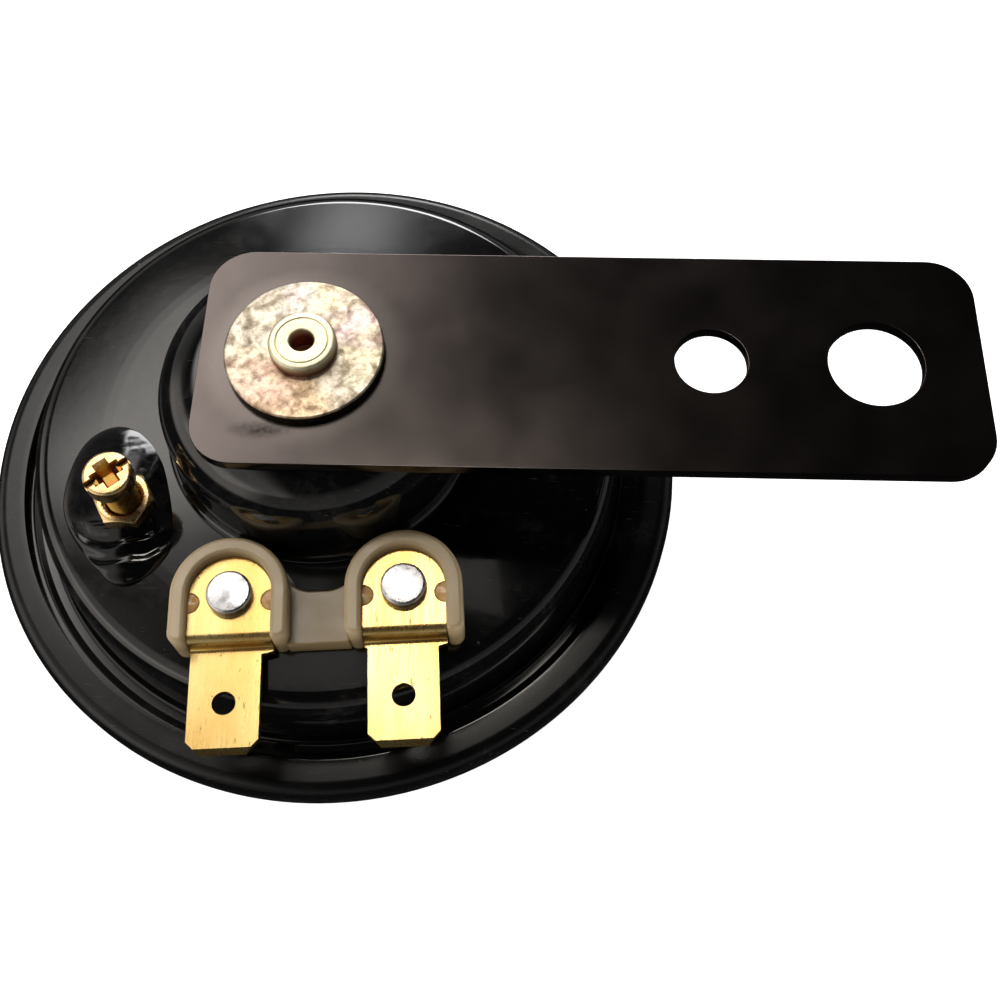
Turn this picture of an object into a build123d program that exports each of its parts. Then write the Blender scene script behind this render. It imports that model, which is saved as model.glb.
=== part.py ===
from build123d import *
import math
import os

# Disc horn of the electromagnetic kind, lying face down with its back upwards.
# Millimetres and degrees.  The origin is the middle of the bracket's larger hole, on the
# bracket's underside.  +Z leaves the back of the horn, +X runs along the bracket away
# from the horn, and the horn's own axis stands at x = -LARGE_HOLE_X.
# The builders below work about the horn's axis; save() moves each piece into the frame.

# ---- Mounting bracket, one flat strip ----
BRACKET_WIDTH = 22.0
BRACKET_THICK = 1.2
BRACKET_SHORT_END = 9.5        # horn axis to the end over the horn
BRACKET_LONG_END = 60.0        # horn axis to the free end
BRACKET_CORNER = 4.0
PUNCHED_EDGE = 0.18            # rolled upper edge of the bracket and the washer
SMALL_HOLE_D = 6.5             # clears an M6 bolt
SMALL_HOLE_X = 36.0
LARGE_HOLE_D = 8.5             # clears an M8 bolt
LARGE_HOLE_X = 50.5

# ---- Rear housing, one steel pressing ----
HOUSING_SHEET = 0.8
BOSS_RADIUS = 14.5             # outside of the coil boss
BOSS_FILLET = 5.0              # outside of the rounded edge at its top
BOSS_HEIGHT = 10.5             # seat of the bracket down to the bowl beside the boss
BOSS_FOOT_FILLET = 0.8         # outside of the hollow where the boss meets the bowl
BOWL_FALL = 1.4                # the bowl drops this much from the boss to the shoulder
SHOULDER_FILLET = 2.0
WALL_INSET = 2.25              # bead of the flange in to the shoulder of the bowl
WALL_DRAFT = 0.65              # the side wall leans out by this much at its foot
WALL_FOOT_FILLET = 0.6
FLANGE_DEPTH = 19.4            # seat of the bracket down to the clamped ring of the flange
BEAD_DROP = 0.3                # the flange's inner ring lies this much lower
BEAD_FILLET = 0.4

# ---- Crimped joint round the edge ----
RIM_RADIUS = 35.0
CRIMP_LIP = 3.2                # width of the folded lip
CRIMP_FILLET = 1.3
CLAMP_GAP = 0.5                # inside of the rim to everything that the crimp holds
CLAMP_WIDTH = 2.7              # flat ring of the flange, from the bead out
GASKET_WIDTH = 2.3
GASKET_THICK = 0.8
DIAPHRAGM_THICK = 0.3

# ---- Front cover, one steel pressing that is folded over the flange ----
COVER_SHEET = 0.8
COVER_DEPTH = 4.7              # the front face stands this far out of the rim
COVER_BRIM = 7.4               # rim in to the edge of the front face
COVER_DISH_RADIUS = 15.0       # the sunk disc in the middle of the face
COVER_DISH_DEPTH = 0.9
COVER_LEAN = 1.6               # the cover's side leans in by this much
COVER_BEND = 1.4               # middle line of its bends
SOUND_SLOTS = 10
SOUND_SLOT_WIDTH = 3.4
SOUND_SLOT_MARGIN = 2.2        # its two ends to the sunk disc and to the face's edge

# ---- Magnet: core, coil and flux ring in the boss ----
CORE_RADIUS = 5.3
CORE_DEPTH = 9.0               # seat of the bracket down to the pole face
TURNED_CHAMFER = 0.3
SHANK_RADIUS = 2.45
WASHER_RADIUS = 7.1
WASHER_THICK = 1.0
HEAD_RADIUS = 3.0              # peened end of the core
HEAD_HEIGHT = 1.3
HEAD_EDGE = 0.25
HEAD_MARK_RADIUS = 2.3         # faint ring left by the peening tool
HEAD_MARK_DEPTH = 0.08
CENTRE_HOLE_D = 2.2
CENTRE_HOLE_DEPTH = 3.2
CENTRE_HOLE_EDGE = 0.15
BOBBIN_WALL = 0.8
BOBBIN_GAP = 1.1               # flanges of the bobbin to the inside of the boss
WINDING_DROP = 0.7             # the winding stays this much below its flanges
FLUX_RING_THICK = 1.2
LEAD_D = 0.6
LEAD_NOTCH = 1.6

# ---- Armature, diaphragm and tone disc ----
STROKE = 0.4                   # the armature's travel towards the core
POLE_GAP = 0.3                 # what is left to the pole face at full stroke
FLUX_GAP = 0.7                 # armature to the flux ring, on the radius
ARMATURE_RADIUS = 5.0
ARMATURE_FLANGE_RADIUS = 8.5
ARMATURE_FLANGE_THICK = 1.2
STRIKE_GAP = 0.15              # flange to the breaker's tongue at rest
STEM_RADIUS = 2.0
STEM_HEAD_RADIUS = 3.2
STEM_HEAD_HEIGHT = 1.2
STEM_HEAD_EDGE = 0.45
DIAPHRAGM_DOME = 0.8           # its middle lies this far out of the clamped plane
DIAPHRAGM_FLAT_RADIUS = 8.0    # its cone runs from here
DIAPHRAGM_BRIM = 5.4           # and ends this far inside the gaskets
DIAPHRAGM_BEND = 6.0
SPACER_RADIUS = 5.5
SPACER_THICK = 0.8
TONE_DISC_RADIUS = 22.0
TONE_DISC_THICK = 0.8
TONE_DISC_DISH = 0.7
TONE_DISC_FLAT_RADIUS = 8.5    # its step runs from here
TONE_DISC_STEP_RADIUS = 11.5   # out to here
TONE_DISC_BEND = 2.0

# ---- Terminals, on a line that is turned a little about the horn's axis ----
TERMINAL_TURN = 4.1
TERMINAL_PITCH = 15.5
TERMINAL_ROW_GAP = 4.4         # coil boss out to the line of the two rivets
TERMINAL_SHEET = 0.8
TERMINAL_DEPTH = 8.3           # seat of the bracket down to the base's upper face
BASE_WIDTH = 7.4
BASE_REACH = 4.4               # rivet to the step down
TERMINAL_STEP = 1.7
TERMINAL_BEND = 0.5            # middle line of the two bends
BLADE_WIDTH = 6.3
LEFT_BLADE_SHIFT = -0.5        # the blades are blanked a little off the rivet's line
RIGHT_BLADE_SHIFT = -0.27
BLADE_REACH = 13.8             # rivet to the blade's tip
BLADE_HOLE_D = 2.1
BLADE_HOLE_REACH = 9.4
BLADE_CORNER = 1.1
BLADE_BEVEL = 0.9
BLADE_BEVEL_DROP = 0.24
NOTCH_RADIUS = 1.0
NOTCH_SET_BACK = 0.6
RIVET_RADIUS = 1.25
RIVET_HEAD_RADIUS = 2.05
RIVET_HEAD_HEIGHT = 0.95
RIVET_HEAD_EDGE = 0.2
RIVET_TAIL_RADIUS = 1.95
RIVET_TAIL_HEIGHT = 0.7
RIVET_TAIL_EDGE = 0.35

# ---- Insulators ----
POCKET_WALL = 1.5
POCKET_RISE = 1.1              # the pocket's wall stands this far above the base
POCKET_REACH = 4.5             # rivet to the pocket's open end
POCKET_CORNER = 0.9
POCKET_EDGE = 0.3
STUD_RISE = 0.35               # the studs in the notches stand this far above the base
STUD_EDGE = 0.3
BRIDGE_TOP = 9.5               # seat of the bracket down to the bridge
BRIDGE_WIDTH = 5.0
BRIDGE_FILLET = 1.0            # where the bridge runs into the pockets
SLEEVE_RADIUS = 2.2
INNER_PLATE_DEPTH = 13.0       # seat of the bracket down to the inner plate's underside
INNER_PLATE_LENGTH = 23.0
INNER_PLATE_WIDTH = 6.4
INNER_PLATE_CORNER = 2.0

# ---- Contact breaker ----
MOVING_ARM_THICK = 0.3
MOVING_ARM_WIDTH = 4.6
TONGUE_WIDTH = 3.2
TONGUE_TIP_RADIUS = 7.0
FIXED_ARM_THICK = 0.8
FIXED_ARM_WIDTH = 6.0
ARM_SPACER_THICK = 0.9
COLLAR_RADIUS = 1.9            # the spacer's collar round the left rivet
COLLAR_WALL = 0.5              # its collar round the stack rivet
CONTACT_REACH = 8.6            # left rivet to the contacts, towards the screw
CONTACT_RADIUS = 1.4
STACK_RIVET_OFFSET = 4.6
STACK_RIVET_RADIUS = 0.9
STACK_RIVET_HEAD = 1.7
STACK_RIVET_HEAD_HEIGHT = 0.6
STACK_RIVET_EDGE = 0.3
STACK_RIVET_SINK = 0.3         # inner plate left below its head
SOLDER_TAB_WIDTH = 2.4
SOLDER_TAB_REACH = 4.4
TAG_THICK = 0.5
TAG_RADIUS = 2.3

# ---- Adjusting screw, locked by its nut and sealed ----
SCREW_GAP = 5.7                # coil boss out to the screw
SCREW_AZIMUTH = -150.6
SCREW_RADIUS = 1.5
SCREW_TOP_DEPTH = 3.3          # seat of the bracket down to the screw's head
SCREW_HEAD_RADIUS = 2.25
SCREW_HEAD_HEIGHT = 1.7
SCREW_HEAD_EDGE = 0.3
SCREW_TIP_CHAMFER = 0.45
SLOT_AZIMUTH = 39.0
SLOT_WIDTH = 0.8
SLOT_DEPTH = 0.8
RECESS_SPAN = 3.0
RECESS_WIDTH = 0.9
RECESS_DEPTH = 1.3
RECESS_TAPER = 12.0
BUTTON_RADIUS = 2.0
BUTTON_THICK = 0.9
BUTTON_EDGE = 0.27
NUT_FLATS = 5.0
NUT_HEIGHT = 2.4
NUT_CHAMFER = 0.34
NUT_FACE_RADIUS = 2.4          # flat ring of its two faces
NUT_COUNTERSINK = 0.45         # countersink of its thread
SCREW_BOSS_RADIUS = 3.5
SCREW_BOSS_RISE = 0.25
SEALANT_RISE = 1.8             # the sealant climbs this far up the nut
SEALANT_SHOULDER = 0.7         # and rounds over from this height above the nut's seat
SEALANT_SHOULDER_SPREAD = 0.93
SEALANT_TOP_SPREAD = 0.74
SEALANT_TURN = 11.0            # its long axis, from +Y towards the boss's tangent
SEALANT_SHIFT = 0.9            # its middle lies this far outside the screw
SEALANT_SIDE = 4.7             # its middle to its edge across
SEALANT_UPPER = 8.3            # and towards +Y
SEALANT_LOWER = 7.1            # and towards -Y
SEALANT_POINTS = 12
SEALANT_TAPER = 2.5            # how narrow its two ends are

# ---- Clearances ----
HOLE_CLEARANCE = 0.05          # a shank in its hole, on the radius
COIL_CLEARANCE = 0.1           # bobbin, winding and flux ring in the boss
SEAT_CLEARANCE = 0.05          # a terminal's base in its pocket
FOOT_CLEARANCE = 0.3           # sealant to the hollow at the boss's foot

# ---- Radii, heights and places that follow from the sizes above ----
CLAMP_RADIUS = RIM_RADIUS - COVER_SHEET - CLAMP_GAP
CLAMP_INNER = CLAMP_RADIUS - GASKET_WIDTH
CRIMP_INNER = RIM_RADIUS - CRIMP_LIP
BEAD_RADIUS = CLAMP_RADIUS - CLAMP_WIDTH
SHOULDER_RADIUS = BEAD_RADIUS - WALL_INSET
COVER_FACE_RADIUS = RIM_RADIUS - COVER_BRIM
SOUND_SLOT_INNER = COVER_DISH_RADIUS + SOUND_SLOT_MARGIN
SOUND_SLOT_OUTER = COVER_FACE_RADIUS - SOUND_SLOT_MARGIN
DIAPHRAGM_CONE_RADIUS = CLAMP_INNER - DIAPHRAGM_BRIM
BOBBIN_RADIUS = BOSS_RADIUS - HOUSING_SHEET - BOBBIN_GAP
WINDING_RADIUS = BOBBIN_RADIUS - WINDING_DROP
TERMINAL_ROW = BOSS_RADIUS + TERMINAL_ROW_GAP
SCREW_CIRCLE = BOSS_RADIUS + SCREW_GAP
WASHER_TOP = BRACKET_THICK + WASHER_THICK
HEAD_TOP = WASHER_TOP + HEAD_HEIGHT
BOWL_SLOPE = BOWL_FALL / (SHOULDER_RADIUS - BOSS_RADIUS)
FLANGE_BOTTOM = -FLANGE_DEPTH - HOUSING_SHEET
DIAPHRAGM_TOP = FLANGE_BOTTOM - GASKET_THICK
DIAPHRAGM_BOTTOM = DIAPHRAGM_TOP - DIAPHRAGM_THICK
COVER_FLANGE_TOP = DIAPHRAGM_BOTTOM - GASKET_THICK
RIM_BOTTOM = COVER_FLANGE_TOP - COVER_SHEET
FRONT_FACE = RIM_BOTTOM - COVER_DEPTH
BOBBIN_TOP = -BOSS_FILLET / 2   # below the boss's rounded edge
BOBBIN_BOTTOM = -BOSS_HEIGHT
ARMATURE_TOP = -CORE_DEPTH - POLE_GAP - STROKE
ARMATURE_SHOULDER = DIAPHRAGM_TOP - DIAPHRAGM_DOME
SPACER_TOP = ARMATURE_SHOULDER - DIAPHRAGM_THICK
TONE_DISC_TOP = SPACER_TOP - SPACER_THICK
STEM_HEAD_TOP = TONE_DISC_TOP - TONE_DISC_THICK
MOVING_ARM_TOP = -INNER_PLATE_DEPTH
MOVING_ARM_BOTTOM = MOVING_ARM_TOP - MOVING_ARM_THICK
FIXED_ARM_TOP = MOVING_ARM_BOTTOM - ARM_SPACER_THICK
FIXED_ARM_BOTTOM = FIXED_ARM_TOP - FIXED_ARM_THICK
BASE_BOTTOM = -TERMINAL_DEPTH - TERMINAL_SHEET
LEFT_X = -TERMINAL_PITCH / 2
RIGHT_X = TERMINAL_PITCH / 2
SCREW_LOCAL = SCREW_AZIMUTH - TERMINAL_TURN
SCREW_X = SCREW_CIRCLE * math.cos(math.radians(SCREW_LOCAL))
SCREW_Y = SCREW_CIRCLE * math.sin(math.radians(SCREW_LOCAL))
ARM_AZIMUTH = math.degrees(math.atan2(SCREW_Y + TERMINAL_ROW, SCREW_X - LEFT_X))
ARM_LENGTH = math.hypot(SCREW_X - LEFT_X, SCREW_Y + TERMINAL_ROW)
SCREW_SEAT = -BOSS_HEIGHT - BOWL_SLOPE * (SCREW_CIRCLE - BOSS_RADIUS) + SCREW_BOSS_RISE
BUTTON_TOP = FIXED_ARM_TOP + BUTTON_THICK


# ---- Helpers ----
def bowl_middle(radius):
    """Height of the middle of the bowl's sheet at a radius."""
    half = HOUSING_SHEET / 2
    return -BOSS_HEIGHT - half - BOWL_SLOPE * (radius - BOSS_RADIUS + half)


def bowl_top(radius):
    """Height of the bowl's outer face at a radius."""
    return bowl_middle(radius) + HOUSING_SHEET / 2 * math.hypot(1, BOWL_SLOPE)


def bowl_inside(radius):
    """Height of the bowl's inner face at a radius."""
    return bowl_middle(radius) - HOUSING_SHEET / 2 * math.hypot(1, BOWL_SLOPE)


def turned(points):
    """A solid turned about the axis from a closed outline of (radius, height) points."""
    return revolve(Plane.XZ * make_face(Polyline(*points, close=True)), Axis.Z)


def spun_sheet(points, radii, thickness):
    """A sheet of even thickness turned about the axis along its middle line."""
    middle = FilletPolyline(*points, radius=radii)
    return revolve(Plane.XZ * trace(middle, line_width=thickness), Axis.Z)


def disc(radius, bottom, top):
    """A plain cylinder on the axis between two heights."""
    return Pos(0, 0, bottom) * extrude(Circle(radius), top - bottom)


def ring(inner, outer, bottom, top):
    """A plain ring on the axis between two heights."""
    return Pos(0, 0, bottom) * extrude(Circle(outer) - Circle(inner), top - bottom)


def plate(sketch, bottom, top):
    """A flat plate of an outline between two heights."""
    return Pos(0, 0, bottom) * extrude(sketch, top - bottom)


def beside_bowl(surface, far):
    """The space between the bowl's face, outside or inside, and a height."""
    inner = BOSS_RADIUS
    outer = SHOULDER_RADIUS
    return turned([(inner, surface(inner)), (outer, surface(outer)), (outer, far), (inner, far)])


def arm_strip(width, start, end):
    """A round-ended strip on the line from the left rivet to the screw."""
    strip = Pos((start + end) / 2, 0) * SlotCenterToCenter(end - start, width)
    return Pos(LEFT_X, -TERMINAL_ROW) * Rot(0, 0, ARM_AZIMUTH) * strip


def root_strip(width):
    """A round-ended strip over the left rivet and the stack rivet."""
    middle = LEFT_X + STACK_RIVET_OFFSET / 2
    return Pos(middle, -TERMINAL_ROW) * SlotCenterToCenter(STACK_RIVET_OFFSET, width)


def at_left(shape):
    """Move a shape from the axis to the left rivet."""
    return Pos(LEFT_X, -TERMINAL_ROW) * shape


def at_right(shape):
    """Move a shape from the axis to the right rivet."""
    return Pos(RIGHT_X, -TERMINAL_ROW) * shape


def at_stack(shape):
    """Move a shape from the axis to the stack rivet."""
    return Pos(LEFT_X + STACK_RIVET_OFFSET, -TERMINAL_ROW) * shape


def at_screw(shape):
    """Move a shape from the axis to the adjusting screw."""
    return Pos(SCREW_X, SCREW_Y) * shape


def contact_place():
    """Where the two contacts meet, on the line from the left rivet to the screw."""
    angle = math.radians(ARM_AZIMUTH)
    x = LEFT_X + CONTACT_REACH * math.cos(angle)
    y = -TERMINAL_ROW + CONTACT_REACH * math.sin(angle)
    return x, y


# ---- Bracket, washer and core ----
def mounting_bracket():
    """Flat strip with round corners, riveted to the horn and drilled for two bolts."""
    length = BRACKET_SHORT_END + BRACKET_LONG_END
    middle = (BRACKET_LONG_END - BRACKET_SHORT_END) / 2
    outline = Pos(middle, 0) * RectangleRounded(length, BRACKET_WIDTH, BRACKET_CORNER)
    outline -= Circle(SHANK_RADIUS + HOLE_CLEARANCE)
    outline -= Pos(SMALL_HOLE_X, 0) * Circle(SMALL_HOLE_D / 2)
    outline -= Pos(LARGE_HOLE_X, 0) * Circle(LARGE_HOLE_D / 2)
    strip = plate(outline, 0, BRACKET_THICK)
    rim = strip.faces().sort_by(Axis.Z)[-1].outer_wire().edges()
    return fillet(rim, PUNCHED_EDGE)


def bracket_washer():
    """Plain round washer under the peened end of the core."""
    washer = ring(SHANK_RADIUS + HOLE_CLEARANCE, WASHER_RADIUS, BRACKET_THICK, WASHER_TOP)
    rim = washer.edges().group_by(Axis.Z)[-1].sort_by(SortBy.RADIUS)[-1]
    return fillet(rim, PUNCHED_EDGE)


def pole_core():
    """Turned iron core: pole, shank through housing, bracket and washer, peened head."""
    core = disc(CORE_RADIUS, -CORE_DEPTH, -HOUSING_SHEET)
    core = chamfer(core.edges().group_by(Axis.Z)[0], TURNED_CHAMFER)
    core += disc(SHANK_RADIUS, -HOUSING_SHEET, WASHER_TOP)
    head = disc(HEAD_RADIUS, WASHER_TOP, HEAD_TOP)
    head = fillet(head.edges().group_by(Axis.Z)[-1], HEAD_EDGE)
    groove = HEAD_MARK_DEPTH
    head -= ring(HEAD_MARK_RADIUS - groove, HEAD_MARK_RADIUS + groove, HEAD_TOP - groove, HEAD_TOP)
    core += head
    hole = CENTRE_HOLE_D / 2
    bottom = HEAD_TOP - CENTRE_HOLE_DEPTH
    core -= turned([(0, bottom - hole / 2), (hole, bottom), (hole, HEAD_TOP), (0, HEAD_TOP)])
    mouth = core.edges().filter_by(GeomType.CIRCLE).group_by(Axis.Z)[-1].sort_by(SortBy.RADIUS)[0]
    return fillet(mouth, CENTRE_HOLE_EDGE)


# ---- Housing and crimped edge ----
def rear_housing():
    """Deep-drawn shell: coil boss, shallow bowl, side wall and flange, with its holes."""
    half = HOUSING_SHEET / 2
    boss = BOSS_RADIUS - half
    shoulder = SHOULDER_RADIUS - half
    foot = shoulder + WALL_DRAFT
    bead = -FLANGE_DEPTH - half - BEAD_DROP
    bowl = -BOSS_HEIGHT - half
    corners = [
        (SHANK_RADIUS + HOLE_CLEARANCE, -half),
        (boss, -half),
        (boss, bowl),
        (shoulder, bowl - BOWL_FALL),
        (foot, bead),
        (BEAD_RADIUS - BEAD_DROP, bead),
        (BEAD_RADIUS + BEAD_DROP, -FLANGE_DEPTH - half),
        (CLAMP_RADIUS, -FLANGE_DEPTH - half),
    ]
    radii = [
        BOSS_FILLET - half,
        BOSS_FOOT_FILLET + half,
        SHOULDER_FILLET - half,
        WALL_FOOT_FILLET + half,
        BEAD_FILLET,
        BEAD_FILLET,
    ]
    shell = spun_sheet(corners, radii, HOUSING_SHEET)
    seat = disc(SCREW_BOSS_RADIUS, SCREW_SEAT - 3 * HOUSING_SHEET / 2, SCREW_SEAT)
    pieces = shell + turned_row(at_screw(seat))
    holes = at_left(disc(SLEEVE_RADIUS + HOLE_CLEARANCE, -FLANGE_DEPTH, 0))
    holes += at_right(disc(SLEEVE_RADIUS + HOLE_CLEARANCE, -FLANGE_DEPTH, 0))
    holes += at_screw(disc(SCREW_RADIUS + HOLE_CLEARANCE, -FLANGE_DEPTH, 0))
    return pieces - turned_row(holes)


def gasket(top):
    """Flat paper ring on one side of the diaphragm."""
    return ring(CLAMP_INNER, CLAMP_RADIUS, top - GASKET_THICK, top)


def front_cover():
    """Dished cover whose edge is folded over the flange and crimped down on it."""
    half = COVER_SHEET / 2
    wall = RIM_RADIUS - half
    face = FRONT_FACE + half
    corners = [
        (CRIMP_INNER, -FLANGE_DEPTH + half),
        (wall, -FLANGE_DEPTH + half),
        (wall, RIM_BOTTOM + half),
        (COVER_FACE_RADIUS + COVER_LEAN, RIM_BOTTOM + half),
        (COVER_FACE_RADIUS, face),
        (COVER_DISH_RADIUS + COVER_DISH_DEPTH, face),
        (COVER_DISH_RADIUS, face + COVER_DISH_DEPTH),
        (0, face + COVER_DISH_DEPTH),
    ]
    crimp = CRIMP_FILLET - half
    dish = COVER_DISH_DEPTH
    shell = spun_sheet(corners, [crimp, crimp, COVER_BEND, COVER_BEND, dish, dish], COVER_SHEET)
    middle = (SOUND_SLOT_INNER + SOUND_SLOT_OUTER) / 2
    slot = SlotOverall(SOUND_SLOT_OUTER - SOUND_SLOT_INNER, SOUND_SLOT_WIDTH)
    slots = [slot.located(place) for place in PolarLocations(middle, SOUND_SLOTS)]
    cutter = plate(Sketch() + slots, FRONT_FACE - half, face + 2 * COVER_SHEET)
    return shell - cutter


# ---- Coil ----
def lead_notches(inner):
    """Two notches in a flange, where the coil's leads pass."""
    notch = Pos(inner + BOSS_RADIUS / 2, 0) * Rectangle(BOSS_RADIUS, LEAD_NOTCH)
    return Sketch() + [Rot(0, 0, azimuth) * notch for azimuth in (LEAD_START, LEAD_END)]


def coil_bobbin():
    """Moulded bobbin: hub, two flanges and a collar that seats in the boss."""
    bore = CORE_RADIUS + COIL_CLEARANCE
    hub = bore + BOBBIN_WALL
    collar = BOSS_RADIUS - BOSS_FILLET - HOUSING_SHEET
    spool = turned([
        (bore, -HOUSING_SHEET),
        (collar, -HOUSING_SHEET),
        (collar, BOBBIN_TOP),
        (BOBBIN_RADIUS, BOBBIN_TOP),
        (BOBBIN_RADIUS, BOBBIN_TOP - BOBBIN_WALL),
        (hub, BOBBIN_TOP - BOBBIN_WALL),
        (hub, BOBBIN_BOTTOM + BOBBIN_WALL),
        (BOBBIN_RADIUS, BOBBIN_BOTTOM + BOBBIN_WALL),
        (BOBBIN_RADIUS, BOBBIN_BOTTOM),
        (bore, BOBBIN_BOTTOM),
    ])
    notch = plate(lead_notches(WINDING_RADIUS), BOBBIN_BOTTOM, BOBBIN_BOTTOM + BOBBIN_WALL)
    return spool - Rot(0, 0, TERMINAL_TURN) * notch


def coil_winding():
    """The wound wire as one ring with rounded outer edges."""
    hub = CORE_RADIUS + COIL_CLEARANCE + BOBBIN_WALL
    winding = ring(hub, WINDING_RADIUS, BOBBIN_BOTTOM + BOBBIN_WALL, BOBBIN_TOP - BOBBIN_WALL)
    rims = winding.edges().filter_by(GeomType.CIRCLE).group_by(SortBy.RADIUS)[-1]
    return fillet(rims, LEAD_D)


def flux_ring():
    """Steel ring that closes the boss below the bobbin, open round the armature."""
    opening = ARMATURE_RADIUS + FLUX_GAP
    outline = Circle(BOSS_RADIUS - HOUSING_SHEET - COIL_CLEARANCE) - Circle(opening)
    outline -= Rot(0, 0, TERMINAL_TURN) * lead_notches(WINDING_RADIUS)
    return plate(outline, BOBBIN_BOTTOM - FLUX_RING_THICK, BOBBIN_BOTTOM)


def coil_lead(azimuth, end, level):
    """Enamelled wire from the winding, down its notch and out to a soldered joint."""
    radius = WINDING_RADIUS + LEAD_D / 2
    x = radius * math.cos(math.radians(azimuth))
    y = radius * math.sin(math.radians(azimuth))
    top = BOBBIN_BOTTOM + 2 * BOBBIN_WALL
    height = level - LEAD_D / 2
    path = FilletPolyline((x, y, top), (x, y, height), (*end, height), radius=3 * LEAD_D)
    section = Plane(origin=(x, y, top), z_dir=(0, 0, -1)) * Circle(LEAD_D / 2)
    return sweep(section, path)


# ---- Armature group ----
def armature():
    """Turned plunger with a striking flange and a stem that is peened over the tone disc."""
    strike = MOVING_ARM_BOTTOM - STRIKE_GAP
    stem_head = STEM_HEAD_TOP - STEM_HEAD_HEIGHT
    plunger = turned([
        (0, ARMATURE_TOP),
        (ARMATURE_RADIUS, ARMATURE_TOP),
        (ARMATURE_RADIUS, strike),
        (ARMATURE_FLANGE_RADIUS, strike),
        (ARMATURE_FLANGE_RADIUS, strike - ARMATURE_FLANGE_THICK),
        (ARMATURE_RADIUS, strike - ARMATURE_FLANGE_THICK),
        (ARMATURE_RADIUS, ARMATURE_SHOULDER),
        (STEM_RADIUS, ARMATURE_SHOULDER),
        (STEM_RADIUS, STEM_HEAD_TOP),
        (STEM_HEAD_RADIUS, STEM_HEAD_TOP),
        (STEM_HEAD_RADIUS, stem_head),
        (0, stem_head),
    ])
    plunger = chamfer(plunger.edges().group_by(Axis.Z)[-1], TURNED_CHAMFER)
    return fillet(plunger.edges().group_by(Axis.Z)[0], STEM_HEAD_EDGE)


def diaphragm():
    """Thin spring-steel disc, flat where it is clamped and slightly dished inside."""
    middle = DIAPHRAGM_TOP - DIAPHRAGM_THICK / 2
    line = [
        (STEM_RADIUS + COIL_CLEARANCE, middle - DIAPHRAGM_DOME),
        (DIAPHRAGM_FLAT_RADIUS, middle - DIAPHRAGM_DOME),
        (DIAPHRAGM_CONE_RADIUS, middle),
        (CLAMP_RADIUS, middle),
    ]
    return spun_sheet(line, [DIAPHRAGM_BEND, DIAPHRAGM_BEND], DIAPHRAGM_THICK)


def diaphragm_spacer():
    """Flat washer between the diaphragm and the tone disc."""
    return ring(STEM_RADIUS + HOLE_CLEARANCE, SPACER_RADIUS, TONE_DISC_TOP, SPACER_TOP)


def tone_disc():
    """Dished steel disc that rings with the diaphragm."""
    middle = TONE_DISC_TOP - TONE_DISC_THICK / 2
    line = [
        (STEM_RADIUS + HOLE_CLEARANCE, middle),
        (TONE_DISC_FLAT_RADIUS, middle),
        (TONE_DISC_STEP_RADIUS, middle - TONE_DISC_DISH),
        (TONE_DISC_RADIUS, middle - TONE_DISC_DISH),
    ]
    return spun_sheet(line, [TONE_DISC_BEND, TONE_DISC_BEND], TONE_DISC_THICK)


# ---- Terminals ----
def terminal(blade_shift):
    """Pressed brass tab: riveted base, step down and a flat 6.3 mm blade."""
    half = TERMINAL_SHEET / 2
    upper = -TERMINAL_DEPTH - half
    lower = upper - TERMINAL_STEP
    bend = -BASE_REACH + half
    corners = [(BASE_WIDTH / 2, upper), (bend, upper), (bend, lower), (-BLADE_REACH, lower)]
    line = FilletPolyline(*corners, radius=TERMINAL_BEND)
    side = Plane.YZ * trace(line, line_width=TERMINAL_SHEET)
    folded = extrude(side, BASE_WIDTH / 2, both=True)
    plan = Circle(BASE_WIDTH / 2) + Pos(0, -BASE_REACH / 2) * Rectangle(BASE_WIDTH, BASE_REACH)
    for side_x in (-BASE_WIDTH / 2, BASE_WIDTH / 2):
        plan -= Pos(side_x, -NOTCH_SET_BACK) * Circle(NOTCH_RADIUS)
    plan -= Circle(RIVET_RADIUS + HOLE_CLEARANCE)
    blade = Pos(blade_shift, -BLADE_REACH / 2) * Rectangle(BLADE_WIDTH, BLADE_REACH)
    blade = chamfer(blade.vertices().group_by(Axis.Y)[0], BLADE_CORNER)
    blade -= Pos(0, BASE_REACH / 2 - NOTCH_SET_BACK) * Rectangle(BASE_WIDTH, BLADE_REACH - BASE_REACH)
    blade -= Pos(blade_shift, -BLADE_HOLE_REACH) * Circle(BLADE_HOLE_D / 2)
    tab = folded & plate(plan + blade, lower - half, upper + half)
    tip = tab.edges().filter_by(Axis.X).group_by(Axis.Y)[0]
    return chamfer(tip, BLADE_BEVEL_DROP, BLADE_BEVEL)


def terminal_rivet(tail_top):
    """Solid rivet: flat head on the terminal, tail peened below the inner parts."""
    head_top = -TERMINAL_DEPTH + RIVET_HEAD_HEIGHT
    head = disc(RIVET_HEAD_RADIUS, -TERMINAL_DEPTH, head_top)
    head = fillet(head.edges().group_by(Axis.Z)[-1], RIVET_HEAD_EDGE)
    tail = disc(RIVET_TAIL_RADIUS, tail_top - RIVET_TAIL_HEIGHT, tail_top)
    tail = fillet(tail.edges().group_by(Axis.Z)[0], RIVET_TAIL_EDGE)
    return head + disc(RIVET_RADIUS, tail_top, -TERMINAL_DEPTH) + tail


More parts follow.
